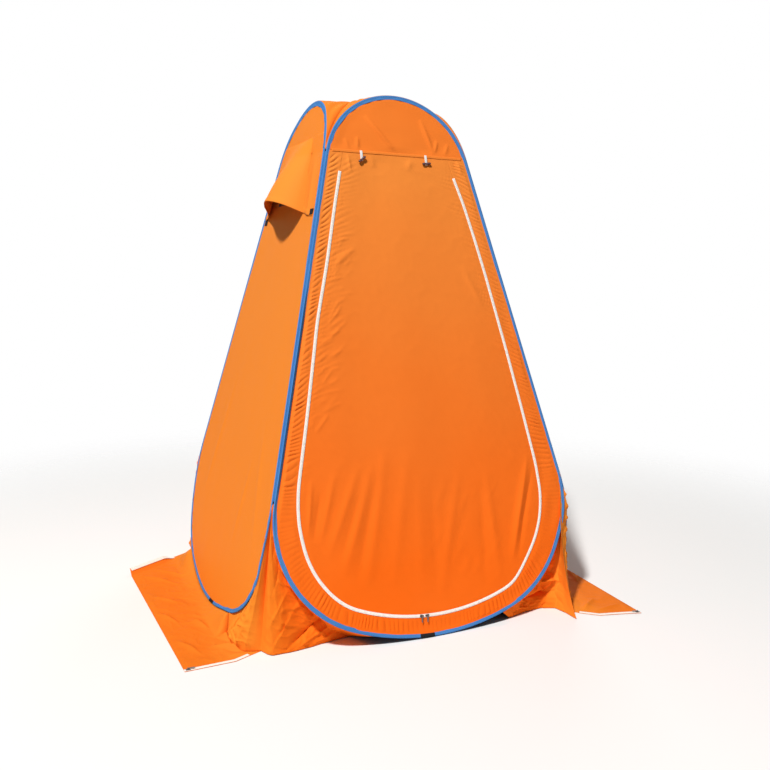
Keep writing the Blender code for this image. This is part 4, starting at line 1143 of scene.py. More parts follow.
# %% Strip round the door
def strip_flat(u, v):
    """(flat points, metres, inset): down the right side, round the bottom, up the left."""
    outer_metres = top_metres * (1.0 - 2.0 * u)
    inner_metres = DOOR_ENDS[1] + (DOOR_ENDS[0] - DOOR_ENDS[1]) * u
    outer = hoop_at(outer_metres, PANEL_EDGE)
    inner = zip_line(inner_metres, -SEW_GAP / 2)
    flat = outer * (1 - v[:, None]) + inner * v[:, None]
    metres = outer_metres * (1 - v) + inner_metres * v
    inset = PANEL_EDGE + (zip_inset(inner_metres) - PANEL_EDGE) * v
    return flat, metres, inset


TOP_FOLDS = [
    ((-0.205, 1.735), (-0.195, 1.655), 0.006, 0.004), ((0.235, 1.74), (0.26, 1.67), 0.007, 0.004),
    ((-0.12, 1.735), (-0.1, 1.675), 0.01, 0.003), ((0.05, 1.73), (0.03, 1.67), 0.012, 0.003),
]


def strip_out(u, v):
    flat, metres, inset = strip_flat(u, v)
    height = strip_relief(metres, inset) + smooth_step(inset, 0.012, 0.03) * raised(flat, TOP_FOLDS)
    return flat, height * smooth_step(SEAM_UP - flat[:, 1], 0.004, 0.03)


def strip_cut(u, v):
    return np.column_stack((u * 2 * top_metres, strip_flat(u, v)[2]))


mesh = on_wall("front", 1500, 28, strip_out, strip_cut)
strip = sew(
    "front_frame_cloth", mesh, "orange_cloth", "front_wall", ["front_frame_panel"],
    ["front_binding"],
)
print("strip", len(strip.data.polygons), "faces")

# %% [markdown]
# The door hangs from the seam inside the zip, and long soft folds run up it from the zip's bottom
# curve. Its flat outline is a patch between the zip's two sides, its bottom and the seam. The
# columns of the grid stand closer together near the zip, where the puckers are small.

# %% Outline of the door
DOOR_CORNER = 0.64
DOOR_EDGE_CROWD = 0.08


def door_flat(u, v):
    """The door's cloth, from the zip up to the seam. Its columns stand closer near the zip."""
    low = zip_line(np.linspace(-DOOR_CORNER, DOOR_CORNER, 400), SEW_GAP / 2)
    left = zip_line(np.linspace(-DOOR_CORNER, DOOR_ENDS[0], 400), SEW_GAP / 2)
    right = zip_line(np.linspace(DOOR_CORNER, DOOR_ENDS[1], 400), SEW_GAP / 2)
    across = u - DOOR_EDGE_CROWD * np.sin(math.tau * u)
    return patch(low, right, np.vstack((left[-1:], right[-1:])), left, across, v)


print("the door's lower corners are", DOOR_CORNER, "m along the zip")

# %% [markdown]
# Each fold is written as its low end and its high end on the flat wall, its width and its height,
# in metres; a negative height makes a valley. The large ones are written down one by one as they
# are seen, and short light creases are scattered by a seeded draw, which gives the same ones every
# time.

# %% Folds of the door
DOOR_FOLDS = [
    ((-0.345, 0.24), (-0.205, 0.62), 0.016, 0.006), ((-0.3, 0.21), (-0.185, 0.58), 0.013, -0.0036),
    ((-0.395, 0.31), (-0.252, 0.62), 0.014, 0.0052), ((-0.352, 0.29), (-0.24, 0.55), 0.01, -0.0034),
    ((-0.418, 0.36), (-0.345, 0.6), 0.011, 0.0042), ((-0.265, 0.18), (-0.15, 0.68), 0.02, 0.0048),
    ((-0.46, 0.38), (-0.43, 0.58), 0.009, 0.0044), ((-0.44, 0.37), (-0.4, 0.54), 0.008, -0.0026),
    ((-0.17, 0.18), (-0.065, 0.66), 0.02, 0.0034), ((-0.06, 0.14), (-0.03, 0.58), 0.014, 0.0022),
    ((0.000, 0.12), (0.015, 0.56), 0.013, -0.0022), ((0.011, 0.11), (0.135, 0.58), 0.015, 0.004),
    ((0.12, 0.405), (0.16, 0.485), 0.005, 0.0022), ((0.09, 0.3), (0.15, 0.42), 0.006, -0.0016),
    ((0.262, 0.14), (0.24, 0.56), 0.015, 0.0042), ((0.2, 0.13), (0.215, 0.52), 0.013, -0.0032),
    ((0.32, 0.2), (0.43, 0.6), 0.013, 0.008), ((0.352, 0.22), (0.45, 0.56), 0.009, -0.0046),
    ((-0.3, 1.3), (-0.2, 1.38), 0.008, 0.003), ((0.3, 1.15), (0.22, 1.32), 0.014, 0.003),
]


def beside_zip(share, chance):
    """Where a light crease beside the left half of the zip starts."""
    up = 0.72 + 0.70 * share
    return 0.050 + 0.085 * chance ** 1.5 - side_across(0.0, up), up


def on_belly(share, chance):
    """Where a light crease in the lower middle of the door starts."""
    return -0.05 + 0.30 * share, 0.16 + 0.28 * chance


DOOR_FOLDS += scattered(5, 52, beside_zip, 0.60, 0.060, 0.0042, 0.0015)
DOOR_FOLDS += scattered(9, 14, on_belly, 1.15, 0.10, 0.0050, 0.0014)
print("the door has", len(DOOR_FOLDS), "folds")

# %% [markdown]
# The folds, the gathers beside the zip and a soft unevenness are added up into one height over the
# flat door. Real cloth rolls up; here the door stays where it is made.

# %% Door
def door_out(u, v):
    flat = door_flat(u, v)
    edge_metres = np.linspace(DOOR_ENDS[0], DOOR_ENDS[1], 900)
    edge = zip_line(edge_metres)
    away, place = nearest(flat, edge)
    metres = np.interp(place, lengths(edge), edge_metres)
    reach = 0.024 + 0.040 * smooth_step(np.abs(metres), 1.15, 1.40)
    reach *= 0.75 + 0.9 * ripple(metres / 0.05, 0.0, 77.0)
    fade = np.exp(-(away / reach) ** 1.5)
    wave = gather_strength(metres) * gather_wave(metres, zip_inset(metres) + away * 0.7)
    free = smooth_step(away, 0.004, 0.022)
    height = wave * fade * (0.0011 + 0.0027 * free)
    inner = smooth_step(away, 0.02, 0.16)
    height += inner * 0.008 * ripple(flat[:, 0] / 0.28, flat[:, 1] / 0.60, 81.0)
    height += free * 0.0005 * crumple(flat, 0.050, 1.0, 91.0, 0.9, 1.8)
    height += smooth_step(away, 0.008, 0.04) * raised(flat, DOOR_FOLDS, 1.5)
    height += raised(flat, TOP_FOLDS)
    return flat, height * smooth_step(SEAM_UP - flat[:, 1], 0.004, 0.04)


BEND_ABOVE, BEND_BELOW = 0.004, 0.046


def hang_from_hinge(piece):
    """Fix a piece of the door in place; the line on which the door turns is worked out but not used."""
    line = np.array(((0.0, DOOR_TOP_UP + BEND_ABOVE), (0.0, DOOR_TOP_UP - BEND_BELOW)))
    start, end = wall_points("front", line, [0.0, 0.0])
    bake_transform(piece)


mesh = on_wall("front", 130, 370, door_out, door_flat)
door = sew(
    "door_cloth", mesh, "orange_cloth", hang_from_hinge, ["door_panel"],
    ["front_frame_cloth"],
)
print("door", len(door.data.polygons), "faces")

# %% [markdown]
# The top panel fills the round top above the seam. Two long folds fan down from the hoop to the
# seam, and short ones stand over the ties.

# %% Top panel
def top_flat(u, v):
    reach = TOP_RADIUS - PANEL_EDGE
    start = math.pi / 2 + math.asin((SEAM_UP + SEW_GAP / 2 - TOP_CENTRE_UP) / reach)
    turns = np.linspace(start, math.pi, 61)
    half = np.column_stack((reach * np.sin(turns), TOP_CENTRE_UP - reach * np.cos(turns)))
    left = mirrored(half)
    top = np.vstack((left[30:], half[30:-1][::-1]))
    return patch(np.vstack((left[:1], half[:1])), half[:31], top, left[:31], u, v)


HIGH_FOLDS = [
    ((-0.125, 1.87), (-0.01, 1.735), 0.008, 0.006), ((0.1, 1.875), (0.15, 1.74), 0.008, 0.005),
    ((0.165, 1.8), (0.15, 1.745), 0.006, 0.004), ((-0.16, 1.79), (-0.16, 1.735), 0.006, 0.004),
    ((-0.21, 1.78), (-0.19, 1.735), 0.006, 0.003), ((0.21, 1.79), (0.19, 1.735), 0.007, 0.003),
]


def top_out(u, v):
    flat = top_flat(u, v)
    away, metres = nearest(flat, LOOP)
    height = 0.006 * ripple(flat[:, 0] / 0.16, flat[:, 1] / 0.14, 101.0) + raised(flat, HIGH_FOLDS)
    height *= smooth_step(flat[:, 1] - SEAM_UP, 0.0, 0.03)
    gathers = puckers(away, metres, 0.018, 0.030, 0.0014, 0.2, 105.0)
    return flat, height * smooth_step(away, 0.012, 0.05) + gathers * smooth_step(away, 0.014, 0.02)


mesh = on_wall("front", 130, 60, top_out, top_flat)
top_cloth = sew(
    "front_top_cloth", mesh, "orange_cloth", "front_wall", ["front_top_panel"],
    ["front_binding"],
)
print("top panel", len(top_cloth.data.polygons), "faces")

# %% [markdown]
# The zip is two white tapes with a coil of teeth between them. The frame's half rides on the front
# wall and the door's half stays in place, as the door does. The tapes are strips along the hoop, as
# the cloth is.

# %% Tapes of the door zip
ZIP_BASE = CLOTH / 2 + SEW_GAP
ZIP_THICK = 0.0009


def zip_tape(name, near, far, carrier, node):
    """One half of the zip's tape, between two distances from the line where the halves meet."""
    def flat(u, v):
        metres = ZIP_ENDS[1] + (ZIP_ENDS[0] - ZIP_ENDS[1]) * u
        return np.column_stack((metres, near + (far - near) * v))

    def place(u, v):
        metres, offset = flat(u, v).T
        return zip_line(metres, offset), zip_lift(metres) + ZIP_BASE + ZIP_THICK / 2

    mesh = on_wall("front", 1300, 3, place, flat)
    settle(finish_piece(name, mesh, SLOTS["zip_tape"], ZIP_THICK), carrier, "zip_tape", node)


half_gap = SEW_GAP / 2
zip_tape("frame_zip", -ZIP_HALF, -half_gap, "front_wall", "frame_zip_tape")
zip_tape("door_zip", half_gap, ZIP_HALF, hang_from_hinge, "door_zip_tape")
print("zip tapes", round(ZIP_HALF - half_gap, 4), "m wide, a gap of", SEW_GAP, "m between them")

# %% [markdown]
# The coil is one small tooth, copied every 3 mm along the line where the halves meet. The door's
# teeth stand half a step on from the frame's, so that they reach in between them.

# %% Teeth of the door zip
TOOTH_PITCH = 0.0030
TOOTH_SIZE = (0.0019, 0.0034, 0.0009)
TOOTH_EDGE = 0.0003
COIL_OFFSET = 0.0011
COIL_END_GAP = 0.004


def coil(name, offset, start_at, carrier):
    """Small rounded teeth along the zip, each a block with its top edges bevelled."""
    tooth = bmesh.new()
    bmesh.ops.create_cube(tooth, size=1.0)
    bmesh.ops.scale(tooth, vec=TOOTH_SIZE, verts=tooth.verts)
    upper = [edge for edge in tooth.edges if all(vert.co.z > 0 for vert in edge.verts)]
    bmesh.ops.bevel(
        tooth, geom=upper, offset=TOOTH_EDGE, segments=1, profile=0.5, affect="EDGES", material=-1,
    )
    shape = bpy.data.meshes.new("tooth")
    tooth.to_mesh(shape)
    tooth.free()
    first, last = ZIP_ENDS[0] + COIL_END_GAP + start_at, ZIP_ENDS[1] - COIL_END_GAP
    rows = np.arange(first, last, TOOTH_PITCH)
    middle = bent("front", zip_line(rows, offset))
    beyond = bent("front", zip_line(rows + 0.001, offset))
    height = zip_lift(rows) + ZIP_BASE + ZIP_THICK + TOOTH_EDGE
    every = bmesh.new()
    for point, step, lift in zip(middle, beyond - middle, height):
        run = Vector((step[0], 0.0, step[1])).normalized()
        out = Vector((0.0, -1.0, 0.0))
        turn = Matrix((run, out.cross(run), out)).transposed().to_4x4()
        spot = Matrix.Translation((point[0], -lift, point[1]))
        every.from_mesh(shape)
        every.verts.ensure_lookup_table()
        added = every.verts[-len(shape.vertices):]
        bmesh.ops.transform(every, matrix=WALLS["front"] @ spot @ turn, verts=added)
    piece = finish_piece(name, every, SLOTS["zip_tape"], smooth=30.0)
    bpy.data.meshes.remove(shape)
    settle(piece, carrier, "zip_tape")


coil("frame_coil", -COIL_OFFSET, 0.0, "front_wall")
coil("door_coil", COIL_OFFSET, TOOTH_PITCH / 2, hang_from_hinge)
print("zip of", len(np.arange(*ZIP_ENDS, TOOTH_PITCH)), "teeth a side")

# %% [markdown]
# A folded seam runs across the front wall above the door. It is a narrow strip with a rounded back,
# which waves a little as stitched cloth does.

# %% Seam
SEAM_WIDTH = 0.0105
SEAM_THICK = 0.0006
seam_reach = side_across(BINDING_WIDTH + 0.002, SEAM_UP + SEAM_WIDTH)


def seam_flat(u, v):
    """The seam on the flat wall, from side to side."""
    return np.column_stack(((2 * u - 1) * seam_reach, SEAM_UP + (v - 0.5) * SEAM_WIDTH))


def seam_place(u, v):
    flat = seam_flat(u, v)
    wave = 0.0007 * ripple(flat[:, 0] / 0.035, 0.0, 121.0)
    flat[:, 1] += 0.0009 * ripple(flat[:, 0] / 0.05, 0.0, 127.0)
    round_top = 0.0005 * (1.0 - (2 * v - 1) ** 4)
    return flat, ZIP_BASE + SEAM_THICK / 2 + round_top + np.abs(wave)


sew(
    "front_seam", on_wall("front", 240, 8, seam_place, seam_flat), "orange_cloth", "front_wall",
    ["front_seam_tape"], ["front_top_cloth", "front_frame_cloth"], thickness=SEAM_THICK,
)
print("seam", round(2 * seam_reach, 3), "m")

# %% [markdown]
# Two ties hang from the seam to hold the rolled-up door: a white strap, and a dark toggle that has
# turned on its end. A strap is a short flat band with a narrowed tip. A toggle is spun from its
# profile and laid over the strap's end.

# %% Ties
TIE_PLACES = {"left": -0.150, "right": 0.109}
TIE_LENGTH, TIE_WIDTH, TIE_THICK = 0.038, 0.0095, 0.0010
TOGGLE_LENGTH, TOGGLE_RADIUS = 0.035, 0.0042
TOGGLE_TURN = {"left": math.radians(38.0), "right": math.radians(6.0)}
TOGGLE_SHAPE = (
    (1.0, 0.0), (0.995, 0.3), (0.97, 0.55), (0.93, 0.80), (0.86, 0.95), (0.70, 1.0), (0.30, 1.0),
    (0.22, 0.96), (0.17, 0.80), (0.12, 0.72),
)
toggle_finish = make_finish("tie_toggle")
toggle_finish.shade(
    Base_Color=colour(0.065, 0.014, 0.018), Roughness=0.42, Coat_Weight=0.15,
    Normal=bumped(toggle_finish, patches(toggle_finish, 0.002), 0.00005),
)
TIE_BASE = ZIP_BASE + SEW_GAP + SEAM_THICK
TIE_TOP = SEAM_UP + SEAM_WIDTH / 2 - TIE_THICK
for side, across in TIE_PLACES.items():
    def strap_flat(u, v):
        narrow = 1.0 - 0.35 * smooth_step(np.abs(2 * u - 1), 0.6, 1.0) * smooth_step(v, 0.9, 1.0)
        return np.column_stack((across + (u - 0.5) * TIE_WIDTH * narrow, TIE_TOP - v * TIE_LENGTH))

    def strap_place(u, v):
        bow = 0.0012 * np.sin(math.pi * v)
        return strap_flat(u, v), TIE_BASE + TIE_THICK / 2 + 0.0002 + bow

    mesh = on_wall("front", 8, 36, strap_place, strap_flat)
    strap = finish_piece("strap_" + side, mesh, SLOTS["tie_strap"], TIE_THICK)
    settle(strap, "tie_" + side, "tie_strap", "tie_strap_" + side)
    outline = [(-x, r) for x, r in TOGGLE_SHAPE] + [(x, r) for x, r in reversed(TOGGLE_SHAPE)]
    toggle = bmesh.new()
    verts = [toggle.verts.new((x * TOGGLE_LENGTH / 2, r * TOGGLE_RADIUS, 0.0)) for x, r in outline]
    edges = [toggle.edges.new(pair) for pair in zip(verts, verts[1:])]
    bmesh.ops.spin(
        toggle, geom=verts + edges, cent=(0, 0, 0), axis=(1, 0, 0), angle=math.tau, steps=40,
        use_merge=True,
    )
    bmesh.ops.remove_doubles(toggle, verts=toggle.verts, dist=SAME_POINT)
    bmesh.ops.recalc_face_normals(toggle, faces=toggle.faces)
    turn_at = TIE_TOP - TIE_LENGTH + TIE_WIDTH / 2
    out = TIE_BASE + TIE_THICK + SEW_GAP + TOGGLE_RADIUS
    spot = Matrix.Translation((across, -out, turn_at)) @ Matrix.Rotation(-TOGGLE_TURN[side], 4, "Y")
    bmesh.ops.transform(toggle, matrix=WALLS["front"] @ spot, verts=toggle.verts)
    piece = finish_piece("toggle_" + side, toggle, toggle_finish.holder, smooth=50.0)
    settle(piece, "toggle_" + side, "tie_toggle", "tie_toggle_" + side)
print("ties", sorted(TIE_PLACES))

# %% [markdown]
# The hood is a cloth flap sewn to the left wall above the window. Its rear edge stands free and
# its front part lies flat on the wall up to a crease, so between the two it bulges like half a
# cone and its hem stands loose. The same formula as the CAD model's gives the shape, on a finer
# grid, with small folds that fan from the top edge and a narrow turned hem.

# %% Hood
HOOD_TOP_UP = HOOP_LENGTH - 0.148
HOOD_HEIGHT = 0.293
HOOD_BULGE = 0.115
HOOD_CREASE_TOP, HOOD_CREASE_LOW = 0.100, 0.190
HOOD_SIDE_INSET = 0.0170
HOOD_CREASE_SHARE = 0.8


def arc_across(inset, height):
    """Half the width inside the hoop at a height, on the straight sides and on the top arc."""
    reach = TOP_RADIUS - inset
    rise = np.asarray(height) - TOP_CENTRE_UP
    on_arc = np.sqrt(np.clip(reach ** 2 - rise ** 2, 0.0, None))
    return np.where(rise > reach * math.sin(SIDE_TILT), on_arc, side_across(inset, height))


def hood_flat(u, v):
    """The columns of the grid run along the crease, so that it comes out sharp."""
    up = HOOD_TOP_UP - HOOD_HEIGHT * v
    half = arc_across(HOOD_SIDE_INSET, up)
    crease = HOOD_CREASE_TOP + (HOOD_CREASE_LOW - HOOD_CREASE_TOP) * v
    before = -half + (crease + half) * u / HOOD_CREASE_SHARE
    after = crease + (half - crease) * (u - HOOD_CREASE_SHARE) / (1 - HOOD_CREASE_SHARE)
    return np.column_stack((np.where(u < HOOD_CREASE_SHARE, before, after), up))


def hood_place(u, v):
    flat = hood_flat(u, v)
    share = np.minimum(1.0, u / HOOD_CREASE_SHARE)
    swell = np.clip(np.sin(math.pi * share ** 2.6), 0.0, None) ** 0.60
    out = CLOTH + SEW_GAP + HOOD_BULGE * swell * v ** 0.80
    fan = ripple(u * 11.0, v * 1.3, 131.0) * 0.0030 + ripple(u * 4.0, v * 2.0, 137.0) * 0.004
    out += fan * smooth_step(swell, 0.1, 0.7) * smooth_step(v, 0.02, 0.4)
    out += 0.0035 * np.exp(-((u - 0.90) / 0.035) ** 2) * smooth_step(v, 0.2, 0.5)
    out += 0.0012 * smooth_step(v, 0.93, 0.95) * (1.0 - smooth_step(v, 0.985, 1.0))
    flat[:, 1] += HOOD_HEIGHT * v * 0.060 * swell
    flat[:, 1] -= 0.022 * v ** 2 * smooth_step(u, 0.74, 1.0)
    return flat, out


hood = sew(
    "hood_cloth", on_wall("left", 170, 90, hood_place, hood_flat), "side_cloth", "hood",
    ["window_hood"], [left_cloth],
)
print("hood", len(hood.data.polygons), "faces")

# %% [markdown]
# Two black tabs hold the hood's hem: the front one is sewn on the hem, and the rear one lies on the
# wall below it.

# %% Hood tabs
TAB_WIDTH, TAB_HEIGHT, TAB_THICK = 0.034, 0.022, 0.0012
HOOD_LOW_UP = HOOD_TOP_UP - HOOD_HEIGHT
tab_edge = float(arc_across(HOOD_SIDE_INSET, HOOD_LOW_UP)) - 0.001
TABS = {
    "front": (tab_edge - TAB_WIDTH, HOOD_LOW_UP - 0.017, CLOTH * 1.5 + 2 * SEW_GAP, "hood"),
    "rear": (-tab_edge, HOOD_LOW_UP - TAB_HEIGHT - 0.002, ZIP_BASE, "left_wall"),
}
for side, (across, low, out, body) in TABS.items():
    def tab_flat(u, v):
        return np.column_stack((across + u * TAB_WIDTH, low + v * TAB_HEIGHT))

    def tab_place(u, v):
        return tab_flat(u, v), out + TAB_THICK / 2 + 0.0004 * np.abs(ripple(u * 3.0, v * 3.0, 141.0))

    sew(
        "tab_" + side, on_wall("left", 16, 10, tab_place, tab_flat), "black_wrap", body,
        ["hood_tab_" + side], [hood if body == "hood" else left_cloth], "black_wrap", TAB_THICK,
    )
print("tabs", sorted(TABS))

# %% [markdown]
# The roof is one cloth stretched between the four round hoop tops, dipping to the four corners.
# It is a grid in rings, from the edge that follows the hoops to the middle. When the tent folds
# the roof crumples; here it only rides on the front wall.

# %% Roof
def roof_edge():
    lines = []
    for wall in ("front", "right", "back", "left"):
        turns = np.linspace(math.tau - SIDE_ANGLE, SIDE_ANGLE, 60)
        reach = TOP_RADIUS + SLEEVE_EDGE
        arc = np.column_stack((reach * np.sin(turns), TOP_CENTRE_UP - reach * np.cos(turns)))
        lines.append(wall_points(wall, arc, np.zeros(len(arc))))
    return np.vstack(lines + [lines[0][:1]])


ROOF_EDGE = roof_edge() - np.array(TENT_SHIFT)
ROOF_TOP = ROOF_EDGE[:, 2].max() + 0.004


def roof_point(u, v):
    edge = along(ROOF_EDGE, u)
    share = 1.0 - v[:, None]
    drop = (ROOF_TOP - edge[:, 2:]) * share ** 3.0
    points = np.hstack((edge[:, :2] * share, ROOF_TOP - drop))
    angle = np.arctan2(edge[:, 1], edge[:, 0])
    corner = np.abs(np.sin(2.0 * angle)) ** 6.0
    wave = 0.0035 * corner * np.sin(angle * 44.0 + 2.0 * ripple(angle, v, 151.0))
    wave *= smooth_step(v, 0.0, 0.15) * (1.0 - smooth_step(v, 0.45, 0.9))
    sag = 0.006 * ripple(points[:, 0] / 0.16, points[:, 1] / 0.16, 157.0) * smooth_step(v, 0.02, 0.3)
    points[:, 2] += wave + sag - 0.006 * smooth_step(v, 0.1, 0.8)
    return points + np.array(TENT_SHIFT)


def roof_flat(u, v):
    edge = along(ROOF_EDGE, u)
    return edge[:, :2] * (1.0 - v[:, None])


mesh = faced(cloth_grid(240, 60, roof_point, roof_flat, loop=True), Vector((0, 0, 1)))
roof = sew(
    "roof_cloth", mesh, "roof_cloth", "front_wall", ["roof_panel"],
    ["front_binding", "back_binding"],
)
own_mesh(roof)
print("roof", len(roof.data.polygons), "faces")

# %% [markdown]
# Below the straight sides the hoops curve away from the corners, and a loose gusset closes each
# corner down to its foot on the ground. Each half is a soap-film patch between four lines: the
# hoop's edge, the ridge that runs down to the foot, and the hem on the ground. The creases that the
# pull at the foot makes are drawn on the flat cut, as folds are.

# %% Feet, hems and creases
GUSSET_FLOOR = 0.0018
FEET = {
    "front_left": (-0.613, -0.563), "front_right": (0.524, -0.764),
    "back_right": (0.610, 0.620), "back_left": (-0.652, 0.520),
}
SIDE_OF = {
    "front_left": (("front", -1), ("left", 1)), "front_right": (("right", -1), ("front", 1)),
    "back_right": (("back", -1), ("right", 1)), "back_left": (("left", -1), ("back", 1)),
}
HEM_METRES = {"front": 0.26, "left": 0.36, "right": 0.36, "back": 0.264}
RIDGE_SAG = {"front_left": -0.004, "front_right": 0.024, "back_right": 0.02, "back_left": 0.02}
HEM_SPOTS = {
    ("front_left", "left"): (
        (-0.684, -0.385), (-0.688, -0.450), (-0.684, -0.508), (-0.664, -0.545), (-0.636, -0.557),
    ),
    ("front_left", "front"): (
        (-0.296, -0.572), (-0.406, -0.590), (-0.527, -0.612), (-0.585, -0.610), (-0.600, -0.594),
    ),
    ("front_right", "front"): (
        (0.300, -0.655), (0.386, -0.634), (0.460, -0.628), (0.508, -0.648), (0.520, -0.700),
    ),
}
CREASES = {
    "front_left": [
        ((-0.107, 0.298), (-0.02, 0.54), 0.009, 0.011), ((-0.078, 0.246), (-0.01, 0.45), 0.008, 0.01),
        ((-0.185, 0.35), (-0.06, 0.515), 0.014, -0.02), ((-0.085, 0.35), (-0.035, 0.49), 0.008, -0.011),
        ((-0.26, 0.43), (-0.08, 0.555), 0.01, 0.011), ((-0.22, 0.405), (-0.11, 0.5), 0.007, 0.009),
        ((-0.045, 0.15), (-0.022, 0.31), 0.006, -0.009), ((-0.03, 0.08), (-0.012, 0.2), 0.006, -0.007),
        ((-0.13, 0.47), (-0.015, 0.565), 0.008, -0.009), ((0.087, 0.22), (0.05, 0.54), 0.012, 0.012),
        ((0.035, 0.12), (0.012, 0.48), 0.01, -0.01), ((0.15, 0.3), (0.1, 0.54), 0.012, 0.01),
        ((0.12, 0.26), (0.07, 0.52), 0.009, -0.01), ((0.22, 0.4), (0.06, 0.56), 0.012, 0.01),
    ],
    "front_right": [
        ((0.125, 0.33), (-0.01, 0.48), 0.008, 0.012), ((0.21, 0.44), (0.045, 0.47), 0.016, -0.02),
        ((0.06, 0.17), (-0.03, 0.225), 0.008, 0.01), ((0.03, 0.06), (0.04, 0.26), 0.012, -0.01),
        ((0.09, 0.25), (0.03, 0.42), 0.01, -0.008), ((-0.05, 0.2), (-0.03, 0.48), 0.012, 0.008),
    ],
    "back_left": [
        ((0.06, 0.15), (0.02, 0.5), 0.012, 0.01), ((-0.08, 0.25), (-0.03, 0.5), 0.012, -0.01),
        ((0.14, 0.35), (0.05, 0.54), 0.01, 0.009),
    ],
    "back_right": [
        ((0.06, 0.15), (0.02, 0.5), 0.012, 0.01), ((-0.08, 0.25), (-0.03, 0.5), 0.012, -0.01),
        ((-0.14, 0.35), (-0.05, 0.54), 0.01, 0.009),
    ],
}

print("creases on", sum(len(folds) for folds in CREASES.values()), "lines")

# %% [markdown]
# A gusset's four lines come from the hoops and the foot. The edges run along the outside of the two
# bindings, the ridge comes down from the seam's end to the foot with a little sag, and the hem goes
# from the hoops to the foot over the spots where it lies on the ground.

# %% Edges of the gussets
def corner_way(corner):
    """The way from the middle of the tent to a corner of its square."""
    across = 1.0 if corner.endswith("right") else -1.0
    back = 1.0 if corner.startswith("back") else -1.0
    return Vector((across, back, 0.0))


def on_floor(spots):
    return np.array([(x, y, GUSSET_FLOOR) for x, y in spots]) + np.array(TENT_SHIFT)


def hoop_edge(wall, start, end):
    """The line along the outside of a binding, between two places in metres."""
    line = hoop_at(np.linspace(start, end, 60), -SLEEVE_EDGE)
    return wall_points(wall, line, np.zeros(len(line)))


def gusset_frame(corner):
    """The lines of both halves: (edge from the hem up, hem to the foot, ridge from the foot up)."""
    edges = []
    for wall, sign in SIDE_OF[corner]:
        edges.append(hoop_edge(wall, sign * HEM_METRES[wall], sign * SHOULDER_TOP))
    start = (edges[0][-1] + edges[1][-1]) / 2
    foot = on_floor([FEET[corner]])[0]
    share = np.linspace(0.0, 1.0, 40)[:, None]
    inward = -np.array((FEET[corner][0], FEET[corner][1], 0.0)) / np.hypot(*FEET[corner])
    ridge = foot + (start - foot) * share + inward * RIDGE_SAG[corner] * np.sin(math.pi * share ** 0.8)
    halves = []
    for (wall, sign), edge in zip(SIDE_OF[corner], edges):
        spots = HEM_SPOTS.get((corner, wall), ())
        middle = [on_floor(spots)] if spots else []
        halves.append((edge, np.vstack([edge[:1]] + middle + [foot[None, :]]), ridge))
    return halves


FRAMES = {corner: gusset_frame(corner) for corner in SIDE_OF}
print("gusset feet", FEET)

# %% [markdown]
# A gusset's cut is flat: each row has its own width, and the rows lie one below the other down the
# ridge. The creases are drawn on it and raised along the way that the corner points. They fade out
# where the cloth is sewn, and beside the hoops the cloth is tucked a little behind the tape.

# %% Shape of a gusset
def gusset_cut(corner, u, v):
    """The flat cut: each row at its own width, and down the ridge by its length."""
    shares = np.linspace(0.0, 1.0, 200)
    (one, _, ridge), (two, _, _) = FRAMES[corner]
    ridge_points = along(ridge, 1.0 - shares)
    down = lengths(ridge_points)
    near = np.linalg.norm(along(one, 1.0 - shares) - ridge_points, axis=1)
    far = np.linalg.norm(along(two, 1.0 - shares) - ridge_points, axis=1)
    beside = np.where(u < 0.5, -np.interp(v, shares, near), np.interp(v, shares, far))
    return np.column_stack((beside * np.abs(2 * u - 1), -np.interp(v, shares, down)))


def gusset_place(corner, u, v):
    across = 1.0 - np.abs(2 * u - 1)
    points = np.zeros((len(u), 3))
    for number, (edge, hem, ridge) in enumerate(FRAMES[corner]):
        top = np.vstack((edge[-1:], ridge[-1:]))
        half = patch(hem, ridge, top, edge, across, 1.0 - v)
        mine = (u < 0.5) if number == 0 else (u >= 0.5)
        points = np.where(mine[:, None], half, points)
    cut = gusset_cut(corner, u, v) * np.array((1.0, -1.0))
    height = crumple(cut, 0.050, 0.0085, 163.0, 0.5, 1.6)
    height += 0.006 * ripple(cut[:, 0] / 0.09, cut[:, 1] / 0.22, 165.0)
    height += 1.7 * raised(cut, CREASES[corner], 1.0)
    room = np.clip(np.abs(cut[:, 0]) / np.maximum(across, 0.05) / 0.10, 0.0, 1.0)
    held = smooth_step(across, 0.0, 0.25) * (1.0 - 0.8 * smooth_step(v, 0.93, 1.0)) * room
    outward = np.array(FEET[corner] + (0.0,)) / np.hypot(*FEET[corner])
    tucked = 0.008 * np.exp(-(across / 0.16) ** 2) * (1.0 - smooth_step(v, 0.90, 1.0))
    points = points + outward * ((height * held - tucked) * smooth_step(v, 0.0, 0.15))[:, None]
    points[:, 2] = np.maximum(points[:, 2], GUSSET_FLOOR)
    return points


print("gusset helpers ready")

# %% [markdown]
# Three gussets stay where they are made. The folding model opens at the fourth corner, so the
# rear right gusset is two halves, each riding on its own wall.

# %% Gussets
GUSSET_BODIES = {
    "front_left": ("front_wall", "left_wall", (-1.0, 1.0)),
    "front_right": ("front_wall", "right_wall", (1.0, 1.0)),
    "back_left": ("left_wall", "back_wall", (1.0, 1.0)),
}
for corner, (body_a, body_b, way) in GUSSET_BODIES.items():
    mesh = cloth_grid(
        190, 160, lambda u, v: gusset_place(corner, u, v), lambda u, v: gusset_cut(corner, u, v),
    )
    middle = corner_way(corner) * (HOOP_SPACING / 2) + TENT_SHIFT
    sew(
        "gusset_cloth_" + corner, faced(mesh, corner_way(corner)), "corner_cloth",
        lambda piece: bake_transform(piece),
        ["gusset_" + corner], [body_a.split("_")[0] + "_binding"],
    )

